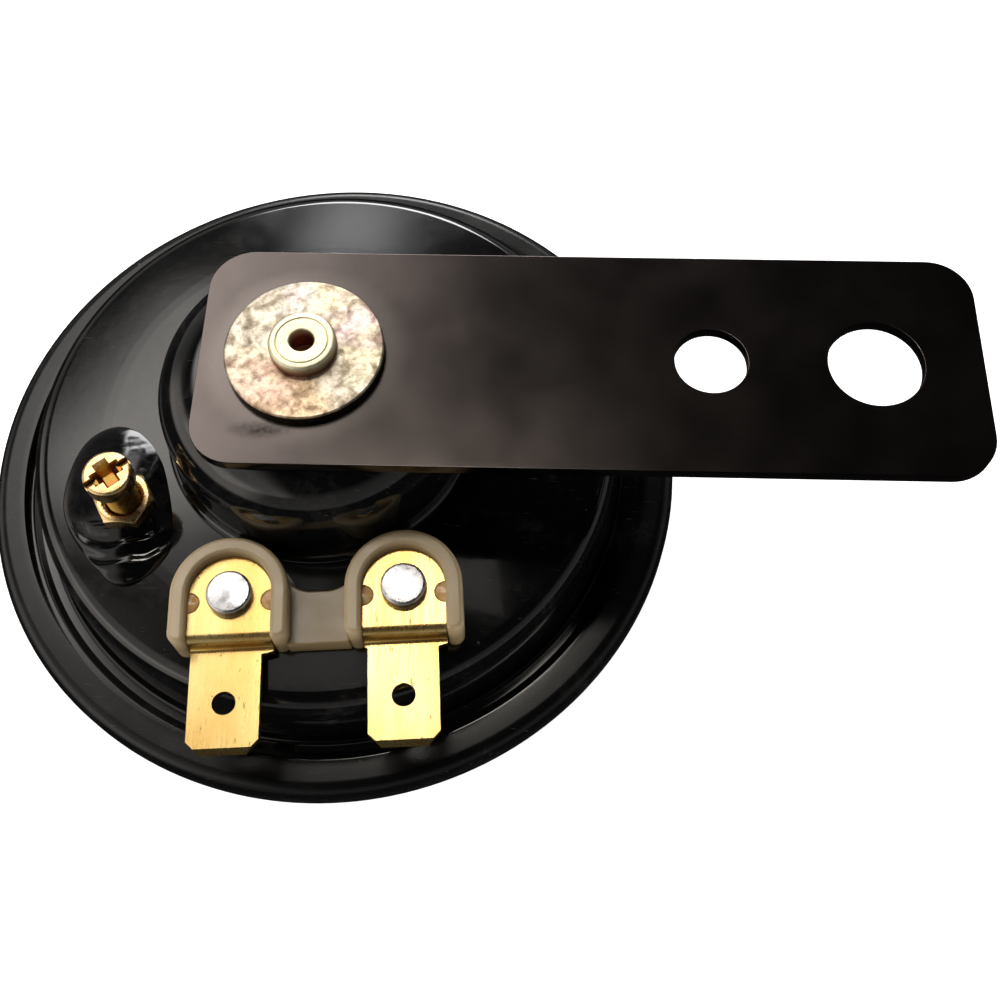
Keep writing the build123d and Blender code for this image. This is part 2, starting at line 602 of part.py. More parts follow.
# ---- Insulators ----
def terminal_insulator():
    """Moulded nylon carrier: two arched pockets, a low bridge, sleeves and staked studs."""
    pocket = BASE_WIDTH / 2 + SEAT_CLEARANCE
    outer = pocket + POCKET_WALL
    reach = POCKET_REACH
    arch = Circle(outer) + Pos(0, -reach / 2) * Rectangle(2 * outer, reach)
    arch = fillet(arch.vertices().group_by(Axis.Y)[0], POCKET_CORNER)
    hollow = Circle(pocket) + Pos(0, -reach) * Rectangle(2 * pocket, 2 * reach)
    rise = -TERMINAL_DEPTH + POCKET_RISE
    shell = plate(arch, -FLANGE_DEPTH, rise)
    shell = fillet(shell.edges().group_by(Axis.Z)[-1], POCKET_EDGE)
    shell -= plate(hollow, BASE_BOTTOM, rise)
    stud = Circle(NOTCH_RADIUS - SEAT_CLEARANCE)
    for side_x in (-BASE_WIDTH / 2, BASE_WIDTH / 2):
        peg = plate(stud, BASE_BOTTOM, -TERMINAL_DEPTH + STUD_RISE)
        peg = fillet(peg.edges().group_by(Axis.Z)[-1], STUD_EDGE)
        shell += Pos(side_x, -NOTCH_SET_BACK) * peg
    bridge = Pos(0, -TERMINAL_ROW - reach + BRIDGE_WIDTH / 2) * Rectangle(TERMINAL_PITCH, BRIDGE_WIDTH)
    web = bridge + at_left(Sketch() + arch) + at_right(Sketch() + arch)
    between = web.vertices().filter_by_position(Axis.X, LEFT_X, RIGHT_X)
    top = BRIDGE_WIDTH - reach - TERMINAL_ROW
    corners = between.filter_by_position(Axis.Y, top - SEAT_CLEARANCE, top + SEAT_CLEARANCE)
    web = fillet(corners, BRIDGE_FILLET)
    body = plate(web, -FLANGE_DEPTH, -BRIDGE_TOP)
    step_edge = TERMINAL_SHEET - BASE_REACH + SEAT_CLEARANCE
    gap = plate(Pos(0, step_edge - reach) * Rectangle(2 * pocket, 2 * reach), -FLANGE_DEPTH, rise)
    void = plate(hollow, BASE_BOTTOM, rise) + gap
    body -= at_left(void) + at_right(void)
    body += at_left(shell - gap) + at_right(shell - gap)
    body &= beside_bowl(bowl_top, 0)
    sleeve = disc(SLEEVE_RADIUS, -INNER_PLATE_DEPTH + TAG_THICK, BASE_BOTTOM)
    body += at_left(sleeve) + at_right(sleeve)
    bore = disc(RIVET_RADIUS + HOLE_CLEARANCE, -FLANGE_DEPTH, 0)
    return body - at_left(bore) - at_right(bore)


def inner_insulator():
    """Plate under the bowl that carries the breaker and receives the sleeves."""
    outline = RectangleRounded(INNER_PLATE_LENGTH, INNER_PLATE_WIDTH, INNER_PLATE_CORNER)
    outline = Pos(0, -TERMINAL_ROW) * outline
    body = plate(outline, -INNER_PLATE_DEPTH, 0) & beside_bowl(bowl_inside, -INNER_PLATE_DEPTH)
    socket = disc(SLEEVE_RADIUS + HOLE_CLEARANCE, -INNER_PLATE_DEPTH + TAG_THICK, 0)
    bore = disc(RIVET_RADIUS + HOLE_CLEARANCE, -FLANGE_DEPTH, 0)
    body -= at_left(socket + bore) + at_right(socket + bore)
    recess = disc(STACK_RIVET_HEAD + HOLE_CLEARANCE, -INNER_PLATE_DEPTH + STACK_RIVET_SINK, 0)
    return body - at_stack(recess + disc(STACK_RIVET_RADIUS + HOLE_CLEARANCE, -FLANGE_DEPTH, 0))


# ---- Contact breaker ----
def moving_contact_arm():
    """Thin leaf with a tongue over the armature's flange."""
    x, y = contact_place()
    azimuth = math.degrees(math.atan2(y, x))
    reach = math.hypot(x, y)
    tongue = SlotCenterToCenter(reach - TONGUE_TIP_RADIUS, TONGUE_WIDTH)
    tongue = Rot(0, 0, azimuth) * Pos((reach + TONGUE_TIP_RADIUS) / 2, 0) * tongue
    outline = arm_strip(MOVING_ARM_WIDTH, 0, CONTACT_REACH) + root_strip(MOVING_ARM_WIDTH) + tongue
    outline += at_stack(Pos(0, SOLDER_TAB_REACH / 2) * Rectangle(SOLDER_TAB_WIDTH, SOLDER_TAB_REACH))
    outline -= at_left(Circle(COLLAR_RADIUS + HOLE_CLEARANCE))
    outline -= at_stack(Circle(STACK_RIVET_RADIUS + COLLAR_WALL + HOLE_CLEARANCE))
    return plate(outline, MOVING_ARM_BOTTOM, MOVING_ARM_TOP)


def arm_spacer():
    """Insulating block between the two arms, with collars through the moving one."""
    body = plate(root_strip(FIXED_ARM_WIDTH), FIXED_ARM_TOP, MOVING_ARM_BOTTOM)
    body += at_left(disc(COLLAR_RADIUS, MOVING_ARM_BOTTOM, MOVING_ARM_TOP))
    body += at_stack(disc(STACK_RIVET_RADIUS + COLLAR_WALL, MOVING_ARM_BOTTOM, MOVING_ARM_TOP))
    body -= at_left(disc(RIVET_RADIUS + HOLE_CLEARANCE, -FLANGE_DEPTH, 0))
    return body - at_stack(disc(STACK_RIVET_RADIUS + HOLE_CLEARANCE, -FLANGE_DEPTH, 0))


def fixed_contact_arm():
    """Stiff arm from the left rivet to below the adjusting screw."""
    outline = arm_strip(FIXED_ARM_WIDTH, 0, ARM_LENGTH) + root_strip(FIXED_ARM_WIDTH)
    outline -= at_left(Circle(RIVET_RADIUS + HOLE_CLEARANCE))
    outline -= at_stack(Circle(STACK_RIVET_RADIUS + HOLE_CLEARANCE))
    return plate(outline, FIXED_ARM_BOTTOM, FIXED_ARM_TOP)


def contact_point(bottom, top):
    """Small round contact on one of the arms."""
    x, y = contact_place()
    return Pos(x, y) * disc(CONTACT_RADIUS, bottom, top)


def stack_rivet():
    """Small rivet that keeps the arms from turning, its head sunk in the inner plate."""
    head_bottom = MOVING_ARM_TOP + STACK_RIVET_SINK
    rivet = disc(STACK_RIVET_HEAD, head_bottom, head_bottom + STACK_RIVET_HEAD_HEIGHT)
    rivet += disc(STACK_RIVET_RADIUS, FIXED_ARM_BOTTOM, head_bottom)
    tail = disc(STACK_RIVET_HEAD, FIXED_ARM_BOTTOM - STACK_RIVET_HEAD_HEIGHT, FIXED_ARM_BOTTOM)
    tail = fillet(tail.edges().group_by(Axis.Z)[0], STACK_RIVET_EDGE)
    return rivet + tail


def coil_tag():
    """Solder tag under the right rivet."""
    outline = Circle(TAG_RADIUS) + Pos(0, BASE_REACH / 2) * Rectangle(TONGUE_WIDTH, BASE_REACH)
    outline -= Circle(RIVET_RADIUS + HOLE_CLEARANCE)
    return plate(outline, -INNER_PLATE_DEPTH - TAG_THICK, -INNER_PLATE_DEPTH)


# ---- Adjuster ----
def adjusting_screw():
    """Cheese-head screw with a slot and a cross recess, down to the breaker's button."""
    head_bottom = -SCREW_TOP_DEPTH - SCREW_HEAD_HEIGHT
    head = disc(SCREW_HEAD_RADIUS, head_bottom, -SCREW_TOP_DEPTH)
    head = fillet(head.edges().group_by(Axis.Z)[-1], SCREW_HEAD_EDGE)
    arm = Rectangle(RECESS_SPAN, RECESS_WIDTH)
    cross = extrude(arm + Rot(0, 0, 90) * arm, -RECESS_DEPTH, taper=RECESS_TAPER)
    slot = extrude(Rectangle(2 * SCREW_HEAD_RADIUS, SLOT_WIDTH), -SLOT_DEPTH)
    azimuth = SLOT_AZIMUTH - TERMINAL_TURN
    head -= Pos(0, 0, -SCREW_TOP_DEPTH) * Rot(0, 0, azimuth) * (cross + slot)
    shank = disc(SCREW_RADIUS, BUTTON_TOP, head_bottom)
    shank = chamfer(shank.edges().group_by(Axis.Z)[0], SCREW_TIP_CHAMFER)
    return head + shank


def lock_nut():
    """Thin hexagon nut with both faces chamfered and a countersunk mouth."""
    top = SCREW_SEAT + NUT_HEIGHT
    blank = plate(RegularPolygon(NUT_FLATS / 2, 6, major_radius=False), SCREW_SEAT, top)
    corner = NUT_FLATS / math.sqrt(3)
    blank &= turned([
        (0, SCREW_SEAT),
        (NUT_FACE_RADIUS, SCREW_SEAT),
        (corner, SCREW_SEAT + NUT_CHAMFER),
        (corner, top - NUT_CHAMFER),
        (NUT_FACE_RADIUS, top),
        (0, top),
    ])
    bore = SCREW_RADIUS + HOLE_CLEARANCE
    blank -= turned([
        (0, SCREW_SEAT),
        (bore, SCREW_SEAT),
        (bore, top - NUT_COUNTERSINK),
        (bore + NUT_COUNTERSINK, top),
        (0, top),
    ])
    return Rot(0, 0, -TERMINAL_TURN) * blank


def adjuster_button():
    """Insulating button between the screw's tip and the fixed arm."""
    button = disc(BUTTON_RADIUS, FIXED_ARM_TOP, BUTTON_TOP)
    return fillet(button.edges().group_by(Axis.Z)[-1], BUTTON_EDGE)


def sealant_outline(spread):
    """Closed curve round the screw, long towards +Y and -Y, at a share of its full size."""
    points = []
    for index in range(SEALANT_POINTS):
        angle = 2 * math.pi * index / SEALANT_POINTS
        along = SEALANT_UPPER if math.sin(angle) > 0 else SEALANT_LOWER
        longer = (along - SEALANT_SIDE) * abs(math.sin(angle)) ** SEALANT_TAPER
        reach = spread * (SEALANT_SIDE + longer)
        points.append((reach * math.cos(angle), reach * math.sin(angle)))
    outline = Pos(-SEALANT_SHIFT, 0) * make_face(Spline(*points, periodic=True))
    return Rot(0, 0, SEALANT_TURN - TERMINAL_TURN) * outline


def screw_sealant():
    """Run of hardened sealant round the nut, longer on both sides along the boss."""
    layers = [Pos(0, 0, bowl_inside(SHOULDER_RADIUS)) * sealant_outline(1)]
    layers.append(Pos(0, 0, SCREW_SEAT + SEALANT_SHOULDER) * sealant_outline(SEALANT_SHOULDER_SPREAD))
    layers.append(Pos(0, 0, SCREW_SEAT + SEALANT_RISE) * sealant_outline(SEALANT_TOP_SPREAD))
    mound = at_screw(loft(layers))
    mound &= beside_bowl(bowl_top, 0)
    mound -= disc(BOSS_RADIUS + BOSS_FOOT_FILLET + FOOT_CLEARANCE, -FLANGE_DEPTH, 0)
    mound -= at_screw(disc(SCREW_BOSS_RADIUS, -FLANGE_DEPTH, SCREW_SEAT))
    hollow = plate(RegularPolygon(NUT_FLATS / 2, 6, major_radius=False), SCREW_SEAT, 0)
    return mound - at_screw(Rot(0, 0, -TERMINAL_TURN) * hollow)


# ---- Assembly ----
LEAD_START = math.degrees(math.atan2(-TERMINAL_ROW + BASE_REACH, RIGHT_X))
LEAD_END = math.degrees(math.atan2(-TERMINAL_ROW, LEFT_X + STACK_RIVET_OFFSET))


def turned_row(shape):
    """Turn a piece of the terminal row about the horn's axis into its place."""
    return Rot(0, 0, TERMINAL_TURN) * shape


def save(name, shape):
    """Move a piece into the part's frame and write it."""
    export_step(Pos(-LARGE_HOLE_X, 0, 0) * shape, f"parts/{name}.step")


def build():
    """Every piece of the horn, by name."""
    contact_middle = (MOVING_ARM_BOTTOM + FIXED_ARM_TOP) / 2
    lead_to_tag = (RIGHT_X, -TERMINAL_ROW + BASE_REACH)
    lead_to_arm = (LEFT_X + STACK_RIVET_OFFSET, -TERMINAL_ROW + SOLDER_TAB_REACH - LEAD_D)
    on_axis = {
        "mounting_bracket": mounting_bracket(),
        "bracket_washer": bracket_washer(),
        "pole_core": pole_core(),
        "rear_housing": rear_housing(),
        "rear_gasket": gasket(FLANGE_BOTTOM),
        "diaphragm": diaphragm(),
        "front_gasket": gasket(DIAPHRAGM_BOTTOM),
        "front_cover": front_cover(),
        "coil_bobbin": coil_bobbin(),
        "coil_winding": coil_winding(),
        "flux_ring": flux_ring(),
        "armature": armature(),
        "diaphragm_spacer": diaphragm_spacer(),
        "tone_disc": tone_disc(),
    }
    in_row = {
        "terminal_left": at_left(terminal(LEFT_BLADE_SHIFT)),
        "terminal_right": at_right(terminal(RIGHT_BLADE_SHIFT)),
        "terminal_rivet_left": at_left(terminal_rivet(FIXED_ARM_BOTTOM)),
        "terminal_rivet_right": at_right(terminal_rivet(-INNER_PLATE_DEPTH - TAG_THICK)),
        "terminal_insulator": terminal_insulator(),
        "inner_insulator": inner_insulator(),
        "moving_contact_arm": moving_contact_arm(),
        "moving_contact": contact_point(contact_middle, MOVING_ARM_BOTTOM),
        "arm_spacer": arm_spacer(),
        "fixed_contact_arm": fixed_contact_arm(),
        "fixed_contact": contact_point(FIXED_ARM_TOP, contact_middle),
        "stack_rivet": at_stack(stack_rivet()),
        "coil_tag": at_right(coil_tag()),
        "coil_lead_start": coil_lead(LEAD_START, lead_to_tag, -INNER_PLATE_DEPTH - TAG_THICK),
        "coil_lead_end": coil_lead(LEAD_END, lead_to_arm, MOVING_ARM_BOTTOM),
        "adjusting_screw": at_screw(adjusting_screw()),
        "lock_nut": at_screw(lock_nut()),
        "adjuster_button": at_screw(adjuster_button()),
        "screw_sealant": screw_sealant(),
    }
    pieces = dict(on_axis)
    for name, shape in in_row.items():
        pieces[name] = turned_row(shape)
    return pieces


os.makedirs("parts", exist_ok=True)
for piece_name, piece_shape in build().items():
    save(piece_name, piece_shape)
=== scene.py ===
import math

import bmesh
import bpy
from bpy.props import FloatProperty, FloatVectorProperty, IntProperty, PointerProperty
from bpy.types import Node, NodeSocket, Operator, Panel, PropertyGroup
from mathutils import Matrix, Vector


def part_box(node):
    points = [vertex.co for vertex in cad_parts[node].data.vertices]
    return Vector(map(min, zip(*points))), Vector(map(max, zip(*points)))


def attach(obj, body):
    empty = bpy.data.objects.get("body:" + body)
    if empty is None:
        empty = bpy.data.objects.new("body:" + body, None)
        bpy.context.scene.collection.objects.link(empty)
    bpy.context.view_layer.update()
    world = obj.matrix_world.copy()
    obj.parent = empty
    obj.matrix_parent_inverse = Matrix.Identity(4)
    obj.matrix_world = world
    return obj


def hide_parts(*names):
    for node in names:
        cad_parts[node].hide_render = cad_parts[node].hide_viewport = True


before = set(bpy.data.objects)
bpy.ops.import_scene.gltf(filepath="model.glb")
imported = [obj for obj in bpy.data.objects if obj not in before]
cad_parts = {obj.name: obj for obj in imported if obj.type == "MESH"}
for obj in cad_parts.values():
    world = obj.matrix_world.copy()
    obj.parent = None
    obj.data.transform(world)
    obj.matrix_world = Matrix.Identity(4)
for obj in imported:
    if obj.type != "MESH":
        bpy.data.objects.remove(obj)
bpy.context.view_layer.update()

bl_info = {
    "name": "Disc horn",
    "version": (1, 0, 0),
    "blender": (4, 5, 0),
    "location": "View3D > Sidebar > Horn",
    "description": "Models and finishes the pieces of a small disc horn round its frame",
    "category": "Object",
}

MM = 0.001
ROUND = 192                    # steps round the horn's own axis
FINE_ROUND = 96                # steps round the core, the screw and the bolt holes
SMALL_ROUND = 64               # steps round a rivet and the nut's bore
HOLE_ROUND = 48                # steps round a pierced hole
TOUCH = 0.001 * MM             # places nearer than this are one
OVERLAP = 0.1 * MM             # how far joined solids reach into each other
FIT = 0.05 * MM                # clearance of a part in its hole or pocket
PAST = 1 * MM                  # how far a cutter reaches past what it cuts
HOUSING = "horn"               # the body that every piece made here rides on


# ---- Places, read from the frame ----
def middle_of(node):
    """Middle of a node's box."""
    low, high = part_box(node)
    return (low + high) / 2


def top_of(node):
    """Highest level of a node."""
    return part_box(node)[1].z


def bottom_of(node):
    """Lowest level of a node."""
    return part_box(node)[0].z


def across(node):
    """Size of a node along X."""
    low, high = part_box(node)
    return high.x - low.x


AXIS = middle_of("bracket_washer").to_2d()
SCREW = middle_of("adjusting_screw").to_2d()
RIVETS = {
    "left": middle_of("terminal_rivet_left").to_2d(),
    "right": middle_of("terminal_rivet_right").to_2d(),
}
ROW = RIVETS["right"] - RIVETS["left"]
ROW_TURN = math.atan2(ROW.y, ROW.x)
BRACKET_TOP = top_of("mounting_bracket")
WASHER_TOP = top_of("bracket_washer")
CORE_TOP = top_of("pole_core")
CORE_FOOT = bottom_of("pole_core")
RIM_RADIUS = across("front_cover") / 2
FRONT_FACE = bottom_of("front_cover")
LIP_TOP = top_of("front_cover")
FLANGE_OUTER = across("rear_housing") / 2
FLANGE_LEVEL = bottom_of("rear_housing")
SCREW_TOP = top_of("adjusting_screw")
SCREW_FOOT = bottom_of("adjusting_screw")
NUT_TOP = top_of("lock_nut")
NUT_FOOT = bottom_of("lock_nut")
RIVET_TOP = top_of("terminal_rivet_left")


# Edge of the brushed sealant round its screw, in shares of its width and length
SEALANT_OUTLINE = (
    (-0.31, 0.55),
    (-0.53, 0.44),
    (-0.61, 0.2),
    (-0.61, 0.0),
    (-0.48, -0.18),
    (-0.27, -0.34),
    (-0.06, -0.48),
    (0.16, -0.46),
    (0.43, -0.3),
    (0.43, -0.07),
    (0.36, 0.13),
    (0.28, 0.32),
    (0.11, 0.47),
    (-0.11, 0.55),
)
# Steps up its mound: rise in millimetres, and what share of its width is left
SEALANT_MOUND = ((0.25, 0.985), (0.2, 0.93), (0.32, 0.84), (0.32, 0.8), (0.34, 0.74), (0.3, 0.66))
# How strong its folds are below the screw: place along it in millimetres, share of their full height
SEALANT_FOLDS = ((-1.8, 0.25), (-2.2, 0.5), (-2.6, 0.75), (-3.0, 1.0))
FOLD_CENTRE = (-0.6 * MM, 0.5 * MM)
FOLD_PITCH = 1.7 * MM
FOLD_HEIGHT = 0.22 * MM
# Size of an empty on which the rings of Blender's wood texture are that far apart
FOLD_GUIDE = 20 * FOLD_PITCH / (2 * math.pi)


# ---- Sizes and colours that a user may change ----
def length(name, description, millimetres):
    """A size in the scene's own unit, given in millimetres."""
    return FloatProperty(
        name=name, description=description, default=millimetres * MM, unit="LENGTH", precision=5
    )


def linear(hex_colour):
    """A hex sRGB colour as linear red, green and blue."""
    parts = [int(hex_colour[i : i + 2], 16) / 255 for i in (1, 3, 5)]
    return tuple(p / 12.92 if p <= 0.04045 else ((p + 0.055) / 1.055) ** 2.4 for p in parts)


def paint(name, description, hex_colour):
    """A colour, given as sRGB hex."""
    return FloatVectorProperty(
        name=name, description=description, default=linear(hex_colour), subtype="COLOR", min=0, max=1
    )


class HornShellSizes(PropertyGroup):
    """Sizes of the two pressed shells"""

    sheet: length("Sheet", "Thickness of both pressed shells", 0.8)
    boss_radius: length("Boss radius", "Outside of the coil boss", 14.5)
    boss_edge: length("Boss edge", "Outside of the rounding at the boss's top", 5.0)
    boss_foot: length("Boss foot", "Hollow where the boss meets the bowl", 0.8)
    boss_height: length("Boss height", "Boss's top down to the bowl beside it", 10.5)
    bowl_fall: length("Bowl fall", "Drop of the bowl from the boss to its shoulder", 1.4)
    bowl_crown: length("Bowl crown", "The bowl's middle stands above a straight cone", 0.06)
    bowl_curve: length("Bowl curve", "Radius of the rounding at the bowl's crown", 70.0)
    shoulder_radius: length("Shoulder radius", "Outside of the bowl's shoulder", 28.75)
    shoulder_edge: length("Shoulder edge", "Outside of the rounding at the shoulder", 2.0)
    wall_lean: length("Wall lean", "The side wall leans out by this much", 0.65)
    wall_foot: length("Wall foot", "Hollow where the wall meets the flange", 0.6)
    bead_radius: length("Bead radius", "Middle of the step in the flange", 31.0)
    bead_drop: length("Bead drop", "Height of the step in the flange", 0.3)
    lip_width: length("Lip width", "Width of the folded lip", 3.2)
    lip_edge: length("Lip edge", "Outside of the lip's rounding", 1.5)
    face_radius: length("Face radius", "Edge of the flat front face", 27.6)
    face_depth: length("Face depth", "The front face stands this far out of the rim", 4.7)
    face_slope: length("Face slope", "Run of the slope round the front face", 1.6)
    face_edge: length("Face edge", "Rounding at both ends of that slope", 1.4)
    dish_radius: length("Dish radius", "Sunk disc in the front face", 15.0)
    dish_depth: length("Dish depth", "Depth of the sunk disc", 0.9)
    edge: length("Edge", "Rounding of the cut edges", 0.1)
    slots: IntProperty(name="Slots", description="Number of sound slots", default=10, min=2)
    slot_width: length("Slot width", "Width of a sound slot", 3.4)
    slot_margin: length("Slot margin", "Slot's ends to the dish and the face's edge", 2.2)


class HornBracketSizes(PropertyGroup):
    """Sizes of the bracket, its washer and the core's head"""

    corner: length("Corner", "Radius of the strip's four corners", 4.0)
    edge: length("Edge", "Rounding of the punched edges", 0.16)
    small_hole: length("Small hole", "Diameter of the smaller bolt hole", 6.5)
    small_hole_from_large: length("Hole pitch", "From the larger hole to the smaller", 14.5)
    large_hole: length("Large hole", "Diameter of the larger bolt hole", 8.5)
    washer_edge: length("Washer edge", "Rounding of its upper edge, twice that of its lower", 0.2)
    shank_radius: length("Shank radius", "Core's shank through bracket and washer", 2.45)
    core_radius: length("Core radius", "Pole inside the coil", 5.3)
    head_radius: length("Head radius", "Peened head of the core", 3.0)
    head_mark: length("Head mark", "Radius of the ring left by peening", 2.3)
    centre_hole: length("Centre hole", "Diameter of the blind hole in the head", 2.2)
    centre_depth: length("Centre depth", "Depth of the blind hole", 3.2)


class HornTerminalSizes(PropertyGroup):
    """Sizes of the terminals and their carrier"""

    sheet: length("Sheet", "Thickness of the brass", 0.8)
    edge: length("Edge", "Rounding of the blanked edges", 0.07)
    base_level: length("Base level", "Seat of the bracket down to the base's upper face", 8.3)
    base_width: length("Base width", "Width of the riveted base", 7.4)
    base_reach: length("Base reach", "Rivet to the step down", 4.4)
    shoulder_reach: length("Shoulder reach", "Rivet to where the tab narrows", 4.85)
    step: length("Step", "Height of the step", 1.7)
    bend: length("Bend", "Middle line of the two bends", 0.5)
    blade_width: length("Blade width", "Width of the blade", 6.3)
    blade_reach: length("Blade reach", "Rivet to the blade's tip", 13.8)
    blade_shift_left: length("Left blade shift", "Left blade off its rivet's line", -0.5)
    blade_shift_right: length("Right blade shift", "Right blade off its rivet's line", -0.27)
    blade_corner: length("Blade corner", "Cut corners of the tip", 1.1)
    blade_bevel: length("Blade bevel", "Length of the ground bevel at the tip", 0.9)
    hole: length("Hole", "Diameter of the hole in the blade", 2.1)
    hole_reach: length("Hole reach", "Rivet to the hole", 9.4)
    notch: length("Notch", "Radius of the notches in the base", 1.0)
    notch_back: length("Notch set back", "Rivet down to the notches", 0.6)
    rivet_shank: length("Rivet shank", "Radius of the rivet's shank", 1.25)
    rivet_tail: length("Rivet tail", "Thickness of the closed tail", 0.7)
    tail_radius: length("Tail radius", "Radius of the closed tail", 1.95)
    pocket_wall: length("Pocket wall", "Thickness of the arched wall", 1.5)
    pocket_rise: length("Pocket rise", "The wall stands this far above the base", 1.1)
    pocket_reach: length("Pocket reach", "Rivet to the pocket's open end", 4.5)
    pocket_corner: length("Pocket corner", "Rounding of the wall's two ends", 0.9)
    pocket_edge: length("Pocket edge", "Rounding of the wall's top edges", 0.42)
    stud_rise: length("Stud rise", "The staked studs stand this far above the base", 0.12)
    bridge_level: length("Bridge level", "Seat of the bracket down to the bridge", 9.5)
    bridge_width: length("Bridge width", "Width of the bridge", 5.0)
    bridge_fillet: length("Bridge fillet", "Where the bridge runs into the pockets", 1.0)
    bridge_edge: length("Bridge edge", "Rounding of the bridge's top edges", 0.25)


class HornScrewSizes(PropertyGroup):
    """Sizes of the adjusting screw, its nut and the sealant"""

    head_height: length("Head height", "Height of the cheese head", 1.7)
    head_edge: length("Head edge", "Rounding of the head", 0.3)
    edge: length("Edge", "Rounding of the cut edges of screw and nut", 0.05)
    thread: length("Thread", "Outer diameter of the thread", 3.0)
    pitch: length("Pitch", "Pitch of the thread", 0.5)
    thread_depth: length("Thread depth", "Depth of the thread", 0.3)
    slot_width: length("Slot width", "Width of the driver slot", 0.75)
    slot_depth: length("Slot depth", "Depth of the driver slot", 0.6)
    recess_span: length("Recess span", "Width of the cross recess", 3.0)
    recess_width: length("Recess width", "Width of one arm of the cross", 1.4)
    recess_depth: length("Recess depth", "Depth of the cross recess", 1.35)
    slot_turn: FloatProperty(
        name="Slot turn",
        description="Where the screw was left, from +X",
        default=math.radians(39.0),
        subtype="ANGLE",
    )
    nut_flats: length("Nut flats", "Width of the nut across its flats", 5.0)
    nut_chamfer: length("Nut chamfer", "Drop of the nut's corners", 0.34)
    nut_mouth: length("Nut mouth", "Countersink of the nut's thread", 0.45)
    sealant_width: length("Sealant width", "Width of the sealant run", 11.0)
    sealant_length: length("Sealant length", "Length of the sealant run", 16.4)
    sealant_reach: length("Sealant reach", "Boss out to the middle of the sealant", 6.0)


class HornColours(PropertyGroup):
    """Colours of the finishes"""

    enamel: paint("Enamel", "Gloss enamel of the shells", "#0B0B0C")
    bracket: paint("Bracket", "Black passivation of the bracket", "#5B5452")
    washer: paint("Washer", "Passivated zinc of the washer", "#E0D6BF")
    core: paint("Core", "Zinc of the peened core", "#F2EACB")
    fastener: paint("Screw and nut", "Yellow zinc of the screw and its nut", "#EACB90")
    brass: paint("Brass", "Rolled brass of the terminals", "#F4D188")
    rivet: paint("Rivets", "Tin of the terminal rivets", "#DCDCE0")
    nylon: paint("Nylon", "Natural nylon of the carrier", "#AC9672")
    stake: paint("Studs", "Nylon melted by the hot stake", "#F2D09A")
    sealant: paint("Sealant", "Hardened locking sealant", "#151416")


# ---- Modelling helpers ----
def start(name, primitive, **settings):
    """Add a primitive with nothing else selected, and name it."""
    if bpy.context.mode != "OBJECT":
        bpy.ops.object.mode_set(mode="OBJECT")
    bpy.ops.object.select_all(action="DESELECT")
    primitive(**settings)
    piece = bpy.context.active_object
    piece.name = name
    return piece


def select_only(piece):
    """Select one piece and nothing else."""
    bpy.ops.object.select_all(action="DESELECT")
    bpy.context.view_layer.objects.active = piece
    piece.select_set(True)


def edit(piece):
    """Go into edit mode on one piece, with all of it selected."""
    select_only(piece)
    bpy.ops.object.mode_set(mode="EDIT")
    bpy.ops.mesh.select_mode(type="VERT")
    bpy.ops.mesh.select_all(action="SELECT")


def leave():
    """Go back to object mode."""
    bpy.ops.object.mode_set(mode="OBJECT")


def pick(piece, test):
    """In edit mode, select the vertices whose places pass a test, and what lies between them."""
    mesh = bmesh.from_edit_mesh(piece.data)
    for vertex in mesh.verts:
        vertex.select = test(vertex.co)
    mesh.select_flush_mode()
    bmesh.update_edit_mesh(piece.data)


def pick_top(piece, level):
    """In edit mode, select the faces that look up and lie above a level."""
    mesh = bmesh.from_edit_mesh(piece.data)
    for face in mesh.faces:
        face.select_set(face.normal.z > 0.9 and face.calc_center_median().z > level)
    bmesh.update_edit_mesh(piece.data)


def close_seams(outwards=True):
    """In edit mode, merge doubles and turn the faces outwards."""
    bpy.ops.mesh.select_all(action="SELECT")
    bpy.ops.mesh.remove_doubles(threshold=TOUCH)
    if outwards:
        bpy.ops.mesh.normals_make_consistent(inside=False)


def apply_modifier(piece, kind, **settings):
    """Add a modifier, set it and apply it."""
    bpy.context.view_layer.objects.active = piece
    modifier = piece.modifiers.new(kind, kind)
    for name, value in settings.items():
        setattr(modifier, name, value)
    bpy.ops.object.modifier_apply(modifier=modifier.name)


def break_edges(piece, width, segments, sharp):
    """Round every edge that turns by more than so many degrees."""
    limit = math.radians(sharp)
    apply_modifier(
        piece, "BEVEL", width=width, segments=segments, limit_method="ANGLE", angle_limit=limit
    )


def combine(piece, tool, operation="DIFFERENCE"):
    """Cut, join or keep what two solids share, and remove the second."""
    apply_modifier(piece, "BOOLEAN", object=tool, operation=operation, solver="EXACT")
    bpy.data.objects.remove(tool)


def draw_line(name, points, closed=False):
    """A line of edges in the plane y = 0 through (x, z) points, left in edit mode."""
    piece = start(name, bpy.ops.mesh.primitive_plane_add, size=MM)
    edit(piece)
    bpy.ops.mesh.merge(type="CENTER")
    places = [Vector((x, 0, z)) for x, z in points]
    bpy.ops.transform.translate(value=places[0])
    route = places + places[:1] if closed else places
    for here, there in zip(route, route[1:]):
        bpy.ops.mesh.extrude_vertices_move(TRANSFORM_OT_translate={"value": there - here})
    close_seams(outwards=False)
    return piece


def round_corners(piece, points, rounding, segments):
    """Round corners of a drawn line: rounding gives the radius at a point's number."""
    count = len(points)
    for number, radius in rounding.items():
        before, corner, after = (Vector(points[(number + i) % count]) for i in (-1, 0, 1))
        turn = math.pi - (before - corner).angle(after - corner)
        spot = Vector((corner.x, 0, corner.y))
        pick(piece, lambda co: (co - spot).length < TOUCH)
        bpy.ops.mesh.bevel(offset=radius * math.tan(turn / 2), segments=segments, affect="VERTICES")


